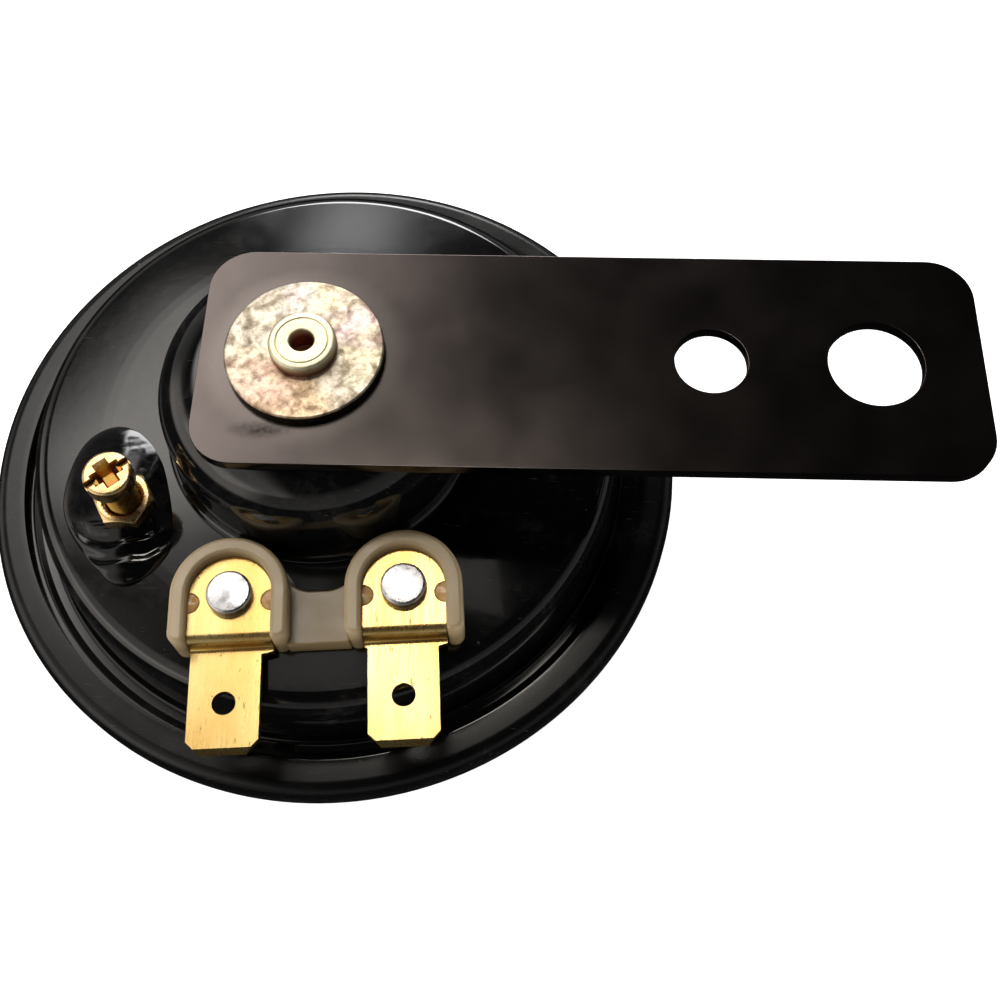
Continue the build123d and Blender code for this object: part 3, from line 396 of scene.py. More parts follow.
def turned(name, points, rounding, centre=AXIS, steps=ROUND, segments=6, closed=False):
    """A shape turned about an upright axis from (radius, height) points."""
    piece = draw_line(name, points, closed)
    round_corners(piece, points, rounding, segments)
    bpy.ops.mesh.select_all(action="SELECT")
    bpy.ops.mesh.spin(steps=steps, angle=2 * math.pi, center=(0, 0, 0), axis=(0, 0, 1))
    close_seams()
    leave()
    return place(piece, centre)


def place(piece, where=(0, 0), turn=0.0):
    """Turn and move a finished shape, and bake its place into its mesh."""
    select_only(piece)
    piece.rotation_euler.z += turn
    piece.location += Vector((where[0], where[1], 0))
    bpy.ops.object.transform_apply(location=True, rotation=True, scale=True)
    return piece


def prism(name, points, bottom, top, rounding=None, segments=8):
    """An upright prism on an outline of (x, y) points, some of them rounded."""
    piece = draw_line(name, points, closed=True)
    round_corners(piece, points, rounding or {}, segments)
    bpy.ops.mesh.select_all(action="SELECT")
    bpy.ops.mesh.edge_face_add()
    bpy.ops.mesh.extrude_region_move(TRANSFORM_OT_translate={"value": (0, bottom - top, 0)})
    close_seams()
    leave()
    piece.rotation_euler.x = -math.pi / 2
    piece.location.z = bottom
    return place(piece)


def drum(name, radius, bottom, top, centre=(0, 0), steps=SMALL_ROUND):
    """A plain upright cylinder, for cutting and joining."""
    return start(
        name,
        bpy.ops.mesh.primitive_cylinder_add,
        vertices=steps,
        radius=radius,
        depth=top - bottom,
        location=(centre[0], centre[1], (bottom + top) / 2),
    )


def bowl_level(shell, radius):
    """Level of the bowl's upper face at a distance from the horn's axis."""
    slope = shell.bowl_fall / (shell.shoulder_radius - shell.boss_radius)
    return -shell.boss_height - slope * (radius - shell.boss_radius)


def oblong(left, right, half):
    """Corners of an oblong that lies evenly on both sides of the line y = 0."""
    return [(left, -half), (right, -half), (right, half), (left, half)]


def copy_of(piece, name):
    """A copy of a piece with its own mesh."""
    twin = piece.copy()
    twin.data = piece.data.copy()
    twin.name = name
    bpy.context.scene.collection.objects.link(twin)
    return twin


def finish_piece(piece, material, slot, *nodes, edge=0.0, smooth=35.0):
    """Break the edges, smooth the faces, give the piece its material, hide the nodes it stands for and
    set it on the horn.
    """
    if edge:
        break_edges(piece, edge, 2, smooth)
    select_only(piece)
    bpy.ops.object.shade_smooth_by_angle(angle=math.radians(smooth))
    apply_modifier(piece, "WEIGHTED_NORMAL", keep_sharp=True)
    piece.data.materials.clear()
    piece.data.materials.append(material)
    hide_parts(*nodes)
    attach(piece, HOUSING)
    return piece


# ---- Material helpers ----
def each(millimetres):
    """Scale of a pattern that repeats about every so many millimetres."""
    return 1 / (millimetres * MM)


def rgba(colour):
    """A colour with its alpha, from sRGB hex or from linear parts."""
    return (*(linear(colour) if isinstance(colour, str) else colour), 1)


def output_of(node):
    """The output that a node's settings leave in use."""
    return next(one for one in node.outputs if one.enabled)


def add_node(owner, kind, inputs=None, stops=(), **settings):
    """Add a node, set it, give its inputs values, colours or links, and its ramp its colours."""
    tree = owner.node_tree
    node = tree.nodes.new("ShaderNode" + kind)
    for name, value in settings.items():
        setattr(node, name, value)
    named = {one.identifier: one for one in node.inputs}
    for name, value in (inputs or {}).items():
        if isinstance(value, Node):
            value = output_of(value)
        target = named.get(name) or node.inputs[name]
        if isinstance(value, NodeSocket):
            tree.links.new(value, target)
        else:
            target.default_value = rgba(value) if isinstance(value, str) else value
    for number, (position, colour) in enumerate(stops):
        elements = node.color_ramp.elements
        stop = elements[number] if number < 2 else elements.new(position)
        stop.position = position
        stop.color = rgba(colour)
    return node


def new_material(name, **inputs):
    """A material with its shader's own numbers set, and a point's place in metres."""
    material = bpy.data.materials.new(name)
    material.use_nodes = True
    shader = material.node_tree.nodes["Principled BSDF"]
    for key, value in inputs.items():
        shader.inputs[key.replace("_", " ")].default_value = value
    return material, add_node(material, "TexCoord").outputs["Object"]


def drive(material, **outputs):
    """Link nodes to the shader's inputs."""
    shader = material.node_tree.nodes["Principled BSDF"]
    for key, node in outputs.items():
        material.node_tree.links.new(output_of(node), shader.inputs[key.replace("_", " ")])


def tones(name, *stops):
    """Stops of a ramp in a finish's tones, which shift with the colour that the user sets for it."""
    colours = bpy.context.scene.horn_colours
    usual = colours.bl_rna.properties[name].default_array
    shift = [now / before for now, before in zip(getattr(colours, name), usual)]
    return [
        (where, [part * share for part, share in zip(linear(colour), shift)]) for where, colour in stops
    ]


def away_from(material, here, axis):
    """How far a point is from an upright axis."""
    flat = {"Vector": here, "Location": (-axis.x, -axis.y, 0), "Scale": (1, 1, 0)}
    centred = add_node(material, "Mapping", flat)
    return add_node(material, "VectorMath", {0: centred}, operation="LENGTH").outputs["Value"]


def surface(material, colour, grain, roughness, depth, height=None):
    """Give a material its colour, roughness that follows its grain, and relief in millimetres."""
    low, high = roughness
    rough = add_node(
        material,
        "MapRange",
        {"Value": grain, "From Min": 0.3, "From Max": 0.7, "To Min": low, "To Max": high},
    )
    relief = grain if height is None else height
    bump = add_node(material, "Bump", {"Height": relief, "Strength": 1.0, "Distance": depth * MM})
    drive(material, Base_Color=colour, Roughness=rough, Normal=bump)
    return material


# ---- Finishes ----
def gloss_enamel(name, **shine):
    """Stoved black enamel, sprayed: deep gloss with a faint orange peel, dust and handling marks."""
    material, here = new_material(name, **shine)
    peel = add_node(material, "TexNoise", {"Vector": here, "Scale": each(1.3), "Detail": 2.0})
    # specks of dust, drawn about twice as large as real ones so that they show
    cells = add_node(material, "TexVoronoi", {"Vector": here, "Scale": each(3.1)})
    kept = add_node(material, "SeparateColor", {"Color": cells.outputs["Color"]})
    dust = add_node(
        material, "MapRange", {"Value": cells, "From Min": 0.05, "From Max": 0.03, "To Max": 0.7}
    )
    dust = add_node(material, "Math", {0: dust, 1: kept}, operation="MULTIPLY")
    # hairline scratches, drawn wider than real ones so that they show
    lines = add_node(
        material, "Mapping", {"Vector": here, "Rotation": (0, 0, 0.6), "Scale": (0.06, 1, 0.4)}
    )
    scratch = add_node(
        material, "TexNoise", {"Vector": lines, "Scale": each(0.22), "Detail": 2.0, "Roughness": 0.7}
    )
    scratch = add_node(
        material, "MapRange", {"Value": scratch, "From Min": 0.68, "From Max": 0.76, "To Max": 0.35}
    )
    worn = add_node(material, "Math", {0: dust, 1: scratch}, operation="MAXIMUM")
    enamel = rgba(bpy.context.scene.horn_colours.enamel)
    colour = add_node(
        material,
        "Mix",
        {"Factor_Float": worn, "A_Color": enamel, "B_Color": "#6E6C69"},
        data_type="RGBA",
    )
    # a thin grey haze where fingers and dust have been
    smudge = add_node(material, "TexNoise", {"Vector": here, "Scale": each(5.0), "Detail": 5.0})
    haze = add_node(
        material, "TexNoise", {"Vector": here, "Scale": each(0.9), "Detail": 6.0, "Roughness": 0.75}
    )
    haze = add_node(material, "Math", {0: haze, 1: smudge}, operation="MULTIPLY")
    haze = add_node(
        material, "MapRange", {"Value": haze, "From Min": 0.27, "From Max": 0.42, "To Max": 0.35}
    )
    colour = add_node(
        material,
        "Mix",
        {"Factor_Float": haze, "A_Color": colour, "B_Color": "#3A3937"},
        data_type="RGBA",
    )
    rough = add_node(
        material,
        "MapRange",
        {"Value": smudge, "From Min": 0.35, "From Max": 0.7, "To Min": 0.08, "To Max": 0.13},
    )
    # the crimping tool has dulled the folded rim
    rim = add_node(
        material,
        "MapRange",
        {
            "Value": away_from(material, here, AXIS),
            "From Min": RIM_RADIUS - 3.3 * MM,
            "From Max": RIM_RADIUS - 2.6 * MM,
            "To Max": 0.16,
        },
    )
    rough = add_node(material, "Math", {0: rough, 1: rim}, operation="ADD")
    height = add_node(material, "Math", {0: dust, 1: 0.6, 2: peel}, operation="MULTIPLY_ADD")
    bump = add_node(material, "Bump", {"Height": height, "Strength": 1.0, "Distance": 0.004 * MM})
    drive(material, Base_Color=colour, Roughness=rough, Normal=bump)
    return material


def black_passivation():
    """Black passivated and waxed steel: a brown-grey satin sheen, paler in a ring round the washer."""
    material, here = new_material("black_passivated_steel", Metallic=1.0)
    # the coating's grain is drawn coarser than it is, so that it shows
    grain = add_node(material, "TexNoise", {"Vector": here, "Scale": each(0.35), "Detail": 3.0})
    cloud = add_node(material, "TexNoise", {"Vector": here, "Scale": each(6.0), "Detail": 4.0})
    tone = add_node(
        material,
        "ValToRGB",
        {"Fac": cloud},
        stops=tones("bracket", (0.35, "#534D4B"), (0.65, "#5B5452")),
    )
    away = away_from(material, here, AXIS)
    waver = add_node(material, "TexNoise", {"Vector": here, "Scale": each(4.0), "Detail": 2.0})
    away = add_node(material, "Math", {0: waver, 1: 1.2 * MM, 2: away}, operation="MULTIPLY_ADD")
    halo = add_node(
        material,
        "MapRange",
        {"Value": away, "From Min": 8.6 * MM, "From Max": 10.0 * MM, "To Min": 0.6, "To Max": 0.0},
    )
    colour = add_node(
        material, "Mix", {"Factor_Float": halo, "A_Color": tone, "B_Color": "#68625F"}, data_type="RGBA"
    )
    # a painted shadow of the washer: a dark patch beside it, 3.3 times as long as it is wide
    flat = 0.3
    below = add_node(
        material,
        "Mapping",
        {
            "Vector": here,
            "Location": (flat * (3.2 * MM - AXIS.x), 7.7 * MM - AXIS.y, 0),
            "Scale": (flat, 1, 0),
        },
    )
    painted_shadow = add_node(material, "VectorMath", {0: below}, operation="LENGTH").outputs["Value"]
    painted_shadow = add_node(
        material,
        "MapRange",
        {"Value": painted_shadow, "From Min": 0.2 * MM, "From Max": 1.0 * MM, "To Min": 1.3, "To Max": 0.0},
    )
    painted_shadow = add_node(material, "Math", {0: painted_shadow, 1: grain}, operation="MULTIPLY")
    # darken the bracket under the painted shadow
    colour = add_node(
        material,
        "Mix",
        {"Factor_Float": painted_shadow, "A_Color": colour, "B_Color": "#1A1716"},
        data_type="RGBA",
    )
    rough = add_node(
        material,
        "MapRange",
        {"Value": cloud, "From Min": 0.3, "From Max": 0.75, "To Min": 0.16, "To Max": 0.2},
    )
    bump = add_node(material, "Bump", {"Height": grain, "Strength": 1.0, "Distance": 0.002 * MM})
    drive(material, Base_Color=colour, Roughness=rough, Normal=bump)
    return material


def passivated_washer():
    """Zinc plate with a thin passivation: cream silver, granular, with the colours of a thin film."""
    material, here = new_material("passivated_zinc_plate", Metallic=1.0)
    centred = add_node(material, "Mapping", {"Vector": here, "Location": (-AXIS.x, -AXIS.y, 0)})
    round_it = add_node(material, "TexGradient", {"Vector": centred}, gradient_type="RADIAL")
    patch = add_node(
        material, "TexNoise", {"Vector": here, "Scale": each(3.0), "Detail": 4.0, "Roughness": 0.65}
    )
    turn = add_node(material, "Math", {0: patch, 1: 0.34, 2: round_it}, operation="MULTIPLY_ADD")
    film = add_node(
        material,
        "ValToRGB",
        {"Fac": turn},
        stops=tones(
            "washer",
            (0.16, "#E0D6BF"),
            (0.30, "#E8C9B8"),
            (0.42, "#ECD2B0"),
            (0.52, "#E2D9CA"),
            (0.66, "#EAE0C2"),
            (0.76, "#E8CFD2"),
            (0.86, "#EDE4C2"),
            (0.97, "#E0D6D4"),
            (1.0, "#E0D8C8"),
        ),
    )
    # the plating's grain is drawn about ten times as coarse as it is, so that it shows
    grain = add_node(
        material, "TexNoise", {"Vector": here, "Scale": each(0.5), "Detail": 5.0, "Roughness": 0.65}
    )
    shade = add_node(material, "ValToRGB", {"Fac": grain}, stops=((0.34, "#BDB6AA"), (0.56, "#FFFFFF")))
    smear = add_node(
        material, "TexNoise", {"Vector": here, "Scale": each(1.7), "Detail": 4.0, "Distortion": 0.8}
    )
    smear = add_node(material, "ValToRGB", {"Fac": smear}, stops=((0.36, "#A29A90"), (0.57, "#FFFFFF")))
    colour = film
    for share, darker in ((0.8, shade), (0.9, smear)):
        colour = add_node(
            material,
            "Mix",
            {"Factor_Float": share, "A_Color": colour, "B_Color": darker},
            data_type="RGBA",
            blend_type="MULTIPLY",
        )
    spots = add_node(material, "TexVoronoi", {"Vector": here, "Scale": each(1.7)})
    pit = add_node(
        material, "MapRange", {"Value": spots, "From Min": 0.16, "From Max": 0.1, "To Max": 0.8}
    )
    pit = add_node(material, "Math", {0: pit, 1: patch}, operation="MULTIPLY")
    level = add_node(material, "SeparateXYZ", {"Vector": here}).outputs["Z"]
    # the punched side below the rounded edge is painted dark: painted shade
    side = add_node(
        material,
        "MapRange",
        {
            "Value": level,
            "From Min": WASHER_TOP - 0.14 * MM,
            "From Max": WASHER_TOP - 0.22 * MM,
            "To Max": 0.9,
        },
    )
    # pits, then the painted shade on the side
    for where, dark in ((pit, "#4A453E"), (side, "#2B2723")):
        colour = add_node(
            material,
            "Mix",
            {"Factor_Float": where, "A_Color": colour, "B_Color": dark},
            data_type="RGBA",
        )
    return surface(material, colour, grain, (0.52, 0.38), 0.012)


def zinc_core():
    """Turned and peened steel with zinc: warm cream metal, brown-red below the head's top: rust down its
    centre hole, and painted shade on the head's side.
    """
    material, here = new_material("zinc_on_turned_steel", Metallic=1.0)
    # the plating's grain is drawn about ten times as coarse as it is, so that it shows
    grain = add_node(material, "TexNoise", {"Vector": here, "Scale": each(0.5), "Detail": 5.0})
    shade = add_node(
        material,
        "ValToRGB",
        {"Fac": grain},
        stops=tones("core", (0.32, "#E6DCB6"), (0.55, "#F2EACB"), (0.72, "#F8F3DD")),
    )
    level = add_node(material, "SeparateXYZ", {"Vector": here}).outputs["Z"]
    # painted shade on the head's side, and rust down the centre hole: brown-red below the head's top
    deep = add_node(
        material,
        "MapRange",
        {
            "Value": level,
            "From Min": CORE_TOP - 0.3 * MM,
            "From Max": CORE_TOP - 1.1 * MM,
            "To Max": 0.85,
        },
    )
    colour = add_node(
        material,
        "Mix",
        {"Factor_Float": deep, "A_Color": shade, "B_Color": "#93402C"},
        data_type="RGBA",
    )
    return surface(material, colour, grain, (0.42, 0.52), 0.012)


def yellow_zinc(name, reach):
    """Yellow-passivated zinc: pale gold outside, rusty orange inside a reach of the screw's axis."""
    material, here = new_material(name, Metallic=1.0)
    # the plating's grain is drawn about ten times as coarse as it is, so that it shows
    grain = add_node(
        material, "TexNoise", {"Vector": here, "Scale": each(0.45), "Detail": 4.0, "Roughness": 0.6}
    )
    film = add_node(
        material,
        "ValToRGB",
        {"Fac": grain},
        stops=tones("fastener", (0.32, "#E0BC78"), (0.5, "#EACB90"), (0.68, "#F0D2B4")),
    )
    inside = add_node(
        material,
        "MapRange",
        {
            "Value": away_from(material, here, SCREW),
            "From Min": reach + 0.1 * MM,
            "From Max": reach,
            "To Max": 0.9,
        },
    )
    level = add_node(material, "SeparateXYZ", {"Vector": here}).outputs["Z"]
    sunk = add_node(
        material,
        "MapRange",
        {
            "Value": level,
            "From Min": SCREW_TOP - 0.1 * MM,
            "From Max": SCREW_TOP - 0.45 * MM,
        },
    )
    cut = add_node(material, "Math", {0: inside, 1: sunk}, operation="MULTIPLY")
    rust = add_node(material, "ValToRGB", {"Fac": grain}, stops=((0.4, "#A8582A"), (0.55, "#98802C")))
    colour = add_node(
        material, "Mix", {"Factor_Float": cut, "A_Color": film, "B_Color": rust}, data_type="RGBA"
    )
    return surface(material, colour, grain, (0.22, 0.36), 0.004)


def rolled_brass():
    """Cold-rolled brass strip, blanked and folded: fine lines along the blade, dark flecks."""
    name = "rolled_brass"
    if name in bpy.data.materials:
        return bpy.data.materials[name]
    material, here = new_material(name, Metallic=1.0)
    along = {"Vector": here, "Rotation": (0, 0, -ROW_TURN)}
    # the rolling lines are drawn about ten times as coarse as they are, so that they show
    lines = add_node(material, "Mapping", {**along, "Scale": (1, 0.035, 1)})
    lines = add_node(
        material, "TexNoise", {"Vector": lines, "Scale": each(0.2), "Detail": 4.0, "Roughness": 0.65}
    )
    streaks = add_node(material, "Mapping", {**along, "Scale": (1, 0.25, 1)})
    cloud = add_node(material, "TexNoise", {"Vector": streaks, "Scale": each(3.0), "Detail": 3.0})
    tone = add_node(
        material,
        "ValToRGB",
        {"Fac": cloud},
        stops=tones("brass", (0.36, "#EDC578"), (0.5, "#F4D188"), (0.66, "#F9DE98")),
    )
    cells = add_node(material, "TexVoronoi", {"Vector": here, "Scale": each(1.0)})
    fleck = add_node(
        material, "MapRange", {"Value": cells, "From Min": 0.1, "From Max": 0.06, "To Max": 0.8}
    )
    dash = add_node(
        material, "TexNoise", {"Vector": streaks, "Scale": each(0.3), "Detail": 1.0, "Roughness": 0.4}
    )
    dash = add_node(
        material, "MapRange", {"Value": dash, "From Min": 0.73, "From Max": 0.77, "To Max": 0.6}
    )
    fleck = add_node(material, "Math", {0: fleck, 1: dash}, operation="MAXIMUM")
    colour = add_node(
        material,
        "Mix",
        {"Factor_Float": fleck, "A_Color": tone, "B_Color": "#4A3A1E"},
        data_type="RGBA",
    )
    return surface(material, colour, lines, (0.24, 0.36), 0.002)


def bright_rivet():
    """Tinned rivet: bright white metal, slightly dimpled by the snap."""
    material, here = new_material("tinned_rivet", Metallic=1.0)
    dimple = add_node(material, "TexNoise", {"Vector": here, "Scale": each(0.8), "Detail": 3.0})
    stops = tones("rivet", (0.3, "#B4B5B9"), (0.6, "#DCDCE0"))
    tone = add_node(material, "ValToRGB", {"Fac": dimple}, stops=stops)
    return surface(material, tone, dimple, (0.2, 0.34), 0.008)


def natural_nylon():
    """Moulded natural nylon: milky, waxy sheen, slightly mottled, with painted shade that darkens it
    lower down.
    """
    material, here = new_material(
        "moulded_natural_nylon",
        IOR=1.53,
        Subsurface_Weight=0.35,
        Subsurface_Radius=(1.0, 0.8, 0.55),
        Subsurface_Scale=0.7 * MM,
    )
    cloud = add_node(material, "TexNoise", {"Vector": here, "Scale": each(2.2), "Detail": 4.0})
    level = add_node(material, "SeparateXYZ", {"Vector": here}).outputs["Z"]
    # painted shade: paler towards the rivets' tops, darker lower down
    painted_shading = add_node(
        material,
        "MapRange",
        {
            "Value": level,
            "From Min": RIVET_TOP - 2.4 * MM,
            "From Max": RIVET_TOP,
            "To Max": 0.55,
        },
    )
    tone = add_node(material, "Math", {0: cloud, 1: 0.3, 2: painted_shading}, operation="MULTIPLY_ADD")
    colour = add_node(
        material,
        "ValToRGB",
        {"Fac": tone},
        stops=tones("nylon", (0.12, "#8A7856"), (0.4, "#AC9672"), (0.72, "#C0AC89")),
    )
    return surface(material, colour, cloud, (0.28, 0.42), 0.02)


def staked_nylon():
    """Nylon studs melted over by a hot stake: glossier, clearer and amber."""
    material, here = new_material(
        "heat_staked_nylon",
        IOR=1.53,
        Subsurface_Weight=0.6,
        Subsurface_Radius=(1.0, 0.6, 0.25),
        Subsurface_Scale=0.6 * MM,
    )
    flow = add_node(
        material, "TexNoise", {"Vector": here, "Scale": each(0.9), "Detail": 2.0, "Distortion": 1.0}
    )
    stops = tones("stake", (0.35, "#D9A560"), (0.65, "#F2D09A"))
    colour = add_node(material, "ValToRGB", {"Fac": flow}, stops=stops)
    return surface(material, colour, flow, (0.08, 0.22), 0.06)


def locking_sealant():
    """Hardened locking paint, laid by brush: black, wet-looking, drawn into fine ridges."""
    material, here = new_material("hardened_locking_sealant", IOR=1.47)
    centred = add_node(material, "Mapping", {"Vector": here, "Location": (-SCREW.x, -SCREW.y, 0)})
    ridge = add_node(
        material,
        "TexWave",
        {"Vector": centred, "Scale": each(9.0), "Distortion": 3.0, "Detail": 2.0, "Detail Scale": 1.5},
        wave_type="RINGS",
        rings_direction="Z",
    )
    skin = add_node(material, "TexNoise", {"Vector": here, "Scale": each(0.8), "Detail": 3.0})
    height = add_node(material, "Math", {0: ridge, 1: 0.4, 2: skin}, operation="MULTIPLY_ADD")
    stops = tones("sealant", (0.4, "#050506"), (0.8, "#151416"))
    tone = add_node(material, "ValToRGB", {"Fac": skin}, stops=stops)
    return surface(material, tone, skin, (0.05, 0.12), 0.004, height)


def plain_finish(name, dark, light, grain, roughness, metallic=1.0, depth=0.006):
    """A finish with a grain of its own size, for the pieces inside the shells."""
    material, here = new_material(name, Metallic=metallic)
    pattern = add_node(material, "TexNoise", {"Vector": here, "Scale": each(grain), "Detail": 5.0})
    colour = add_node(material, "ValToRGB", {"Fac": pattern}, stops=((0.3, dark), (0.7, light)))
    return surface(material, colour, pattern, roughness, depth)


# ---- Pieces ----
class HORN_OT_rear_shell(Operator):
    """Spin the deep-drawn rear shell with its coil boss, bowl, wall and flange"""

    bl_idname = "horn.rear_shell"
    bl_label = "Rear shell"

    def execute(self, context):
        s = context.scene.horn_shell
        half = s.sheet / 2
        seat = FLANGE_LEVEL + half
        boss = s.boss_radius - half
        shoulder = s.shoulder_radius - half
        foot = shoulder + s.wall_lean
        points = [
            (context.scene.horn_bracket.shank_radius + FIT, -half),
            (boss, -half),
            (boss, -s.boss_height - half),
            ((boss + shoulder) / 2, s.bowl_crown - s.boss_height - half - s.bowl_fall / 2),
            (shoulder, -s.boss_height - half - s.bowl_fall),
            (foot, seat - s.bead_drop),
            (s.bead_radius - s.bead_drop, seat - s.bead_drop),
            (s.bead_radius + s.bead_drop, seat),
            (FLANGE_OUTER, seat),
        ]
        rounding = {
            1: s.boss_edge - half,
            2: s.boss_foot + half,
            3: s.bowl_curve,
            4: s.shoulder_edge - half,
            5: s.wall_foot + half,
            6: half,
            7: half,
        }
        shell = turned("rear_shell", points, rounding)
        apply_modifier(shell, "SOLIDIFY", thickness=s.sheet, offset=0, use_even_offset=True)
        enamel = gloss_enamel("stoved_gloss_enamel", IOR=1.5, Coat_Weight=0.3, Coat_Roughness=0.03)
        finish_piece(shell, enamel, "black_enamel", "rear_housing", edge=s.edge)
        return {"FINISHED"}


class HORN_OT_front_shell(Operator):
    """Spin the front cover with its crimped rim and punch its sound slots"""

    bl_idname = "horn.front_shell"
    bl_label = "Front shell"

    def execute(self, context):
        s = context.scene.horn_shell
        half = s.sheet / 2
        rim = RIM_RADIUS - half
        face = FRONT_FACE + half
        brim = FRONT_FACE + s.face_depth + half
        lip = LIP_TOP - half
        middle = half + s.lip_edge - s.sheet
        points = [
            (RIM_RADIUS - s.lip_width, lip),
            (rim, lip),
            (rim, brim),
            (s.face_radius + s.face_slope, brim),
            (s.face_radius, face),
            (s.dish_radius + s.dish_depth, face),
            (s.dish_radius, face + s.dish_depth),
            (0, face + s.dish_depth),
        ]
        rounding = {1: middle, 2: middle, 3: s.face_edge, 4: s.face_edge, 5: middle, 6: middle}
        shell = turned("front_shell", points, rounding)
        apply_modifier(shell, "SOLIDIFY", thickness=s.sheet, offset=0, use_even_offset=True)
        inner = s.dish_radius + s.slot_margin
        outer = s.face_radius - s.slot_margin
        wide = s.slot_width / 2
        slot = prism(
            "slot_punch",
            oblong(inner, outer, wide),
            face - 2 * s.sheet,
            face + 2 * s.sheet,
            dict.fromkeys(range(4), wide),
        )
        for number in range(s.slots):
            punch = copy_of(slot, "slot_cut")
            place(punch, AXIS, 2 * math.pi * number / s.slots)
            combine(shell, punch)
        bpy.data.objects.remove(slot)
        enamel = gloss_enamel("thin_stoved_enamel", IOR=1.4)
        finish_piece(shell, enamel, "black_enamel", "front_cover", edge=s.edge)
        return {"FINISHED"}


class HORN_OT_bracket(Operator):
    """Punch the flat mounting strip with its two bolt holes"""

    bl_idname = "horn.bracket"
    bl_label = "Bracket"

    def execute(self, context):
        s = context.scene.horn_bracket
        low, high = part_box("mounting_bracket")
        corners = [(low.x, low.y), (high.x, low.y), (high.x, high.y), (low.x, high.y)]
        strip = prism("bracket_strip", corners, low.z, high.z, dict.fromkeys(range(4), s.corner), 12)
        holes = [
            ((0, 0), s.large_hole / 2),
            ((-s.small_hole_from_large, 0), s.small_hole / 2),
            (AXIS, s.shank_radius + FIT),
        ]
        for centre, radius in holes:
            cutter = drum("bolt_hole", radius, low.z - PAST, high.z + PAST, centre, FINE_ROUND)
            combine(strip, cutter)
        finish_piece(strip, black_passivation(), "bracket_enamel", "mounting_bracket", edge=s.edge)
        return {"FINISHED"}


class HORN_OT_washer(Operator):
    """Turn the punched washer under the core's head"""

    bl_idname = "horn.washer"
    bl_label = "Washer"

    def execute(self, context):
        s = context.scene.horn_bracket
        outer = across("bracket_washer") / 2
        bore = s.shank_radius + FIT
        points = [(bore, BRACKET_TOP), (outer, BRACKET_TOP), (outer, WASHER_TOP), (bore, WASHER_TOP)]
        rounding = {1: s.washer_edge / 2, 2: s.washer_edge}
        washer = turned("washer", points, rounding, closed=True, segments=4)
        finish_piece(washer, passivated_washer(), "zinc_passivated", "bracket_washer")
        return {"FINISHED"}


class HORN_OT_core(Operator):
    """Turn the pole core with its peened head"""

    bl_idname = "horn.core"
    bl_label = "Pole core"

    def execute(self, context):
        s = context.scene.horn_bracket
        hole = s.centre_hole / 2
        head = s.head_radius
        groove = 0.08 * MM
        drill_point = 0.6 * hole
        shoulder = -context.scene.horn_shell.sheet
        points = [
            (0, CORE_TOP - s.centre_depth),
            (hole, CORE_TOP - s.centre_depth + drill_point),
            (hole, CORE_TOP),
            (s.head_mark - groove, CORE_TOP),
            (s.head_mark, CORE_TOP - groove),
            (s.head_mark + groove, CORE_TOP),
            (head, CORE_TOP),
            (head, WASHER_TOP),
            (s.shank_radius, WASHER_TOP),
            (s.shank_radius, shoulder),
            (s.core_radius, shoulder),
            (s.core_radius, CORE_FOOT),
            (0, CORE_FOOT),
        ]
        # the hole's mouth, both edges of the head and both of the pole
        rounding = {2: 0.15 * MM, 6: 0.32 * MM, 7: 0.12 * MM, 10: 0.3 * MM, 11: 0.3 * MM}
        core = turned("pole_core_turned", points, rounding, steps=FINE_ROUND, segments=4)
        finish_piece(core, zinc_core(), "zinc_core", "pole_core")
        return {"FINISHED"}


class HORN_OT_terminals(Operator):
    """Blank, fold and pierce the two spade terminals"""

    bl_idname = "horn.terminals"
    bl_label = "Terminals"

    def execute(self, context):
        s = context.scene.horn_terminal
        half = s.sheet / 2
        wide = s.base_width / 2
        upper = -s.base_level - half
        lower = upper - s.step
        bend = s.base_reach - half
        route = [(-wide, upper), (bend, upper), (bend, lower), (s.blade_reach, lower)]
        sheet = draw_line("folded_strip", route)
        round_corners(sheet, route, {1: s.bend, 2: s.bend}, 6)
        bpy.ops.mesh.select_all(action="SELECT")
        bpy.ops.transform.translate(value=(0, -wide, 0))
        bpy.ops.mesh.extrude_region_move(TRANSFORM_OT_translate={"value": (0, 2 * wide, 0)})
        close_seams()
        leave()
        apply_modifier(sheet, "SOLIDIFY", thickness=s.sheet, offset=0, use_even_offset=True)
        place(sheet, turn=-math.pi / 2)
        # the ground bevel at the tip, half of it on each face
        edit(sheet)
        pick(sheet, lambda co: co.y < OVERLAP - s.blade_reach and co.z > lower)
        bpy.ops.transform.translate(value=(0, s.blade_bevel / 2, 0))
        bpy.ops.mesh.select_all(action="DESELECT")
        leave()
        tip = -s.blade_reach
        corner = s.blade_corner
        neck = -s.shoulder_reach
        slant = 0.2 * MM
        for side, shift in (("left", s.blade_shift_left), ("right", s.blade_shift_right)):
            low, high = shift - s.blade_width / 2, shift + s.blade_width / 2
            plan = [
                (-wide, neck),
                (-wide, wide),
                (wide, wide),
                (wide, neck),
                (high, neck - slant),
                (high, tip + corner),
                (high - corner, tip),
                (low + corner, tip),
                (low, tip + corner),
                (low, neck - slant),
            ]
            die = prism("die", plan, lower - 2 * s.sheet, upper + 2 * s.sheet, {1: wide, 2: wide}, 16)
            tab = copy_of(sheet, "spade_" + side)
            combine(tab, die, "INTERSECT")
            holes = [
                ((0, 0), s.rivet_shank + FIT),
                ((shift, -s.hole_reach), s.hole / 2),
                ((-wide, -s.notch_back), s.notch),
                ((wide, -s.notch_back), s.notch),
            ]
            for centre, radius in holes:
                punch = drum("pierced_hole", radius, lower - PAST, upper + PAST, centre, HOLE_ROUND)
                combine(tab, punch)
            place(tab, RIVETS[side], ROW_TURN)
            finish_piece(tab, rolled_brass(), "brass_sheet", "terminal_" + side, edge=s.edge)
        bpy.data.objects.remove(sheet)
        return {"FINISHED"}


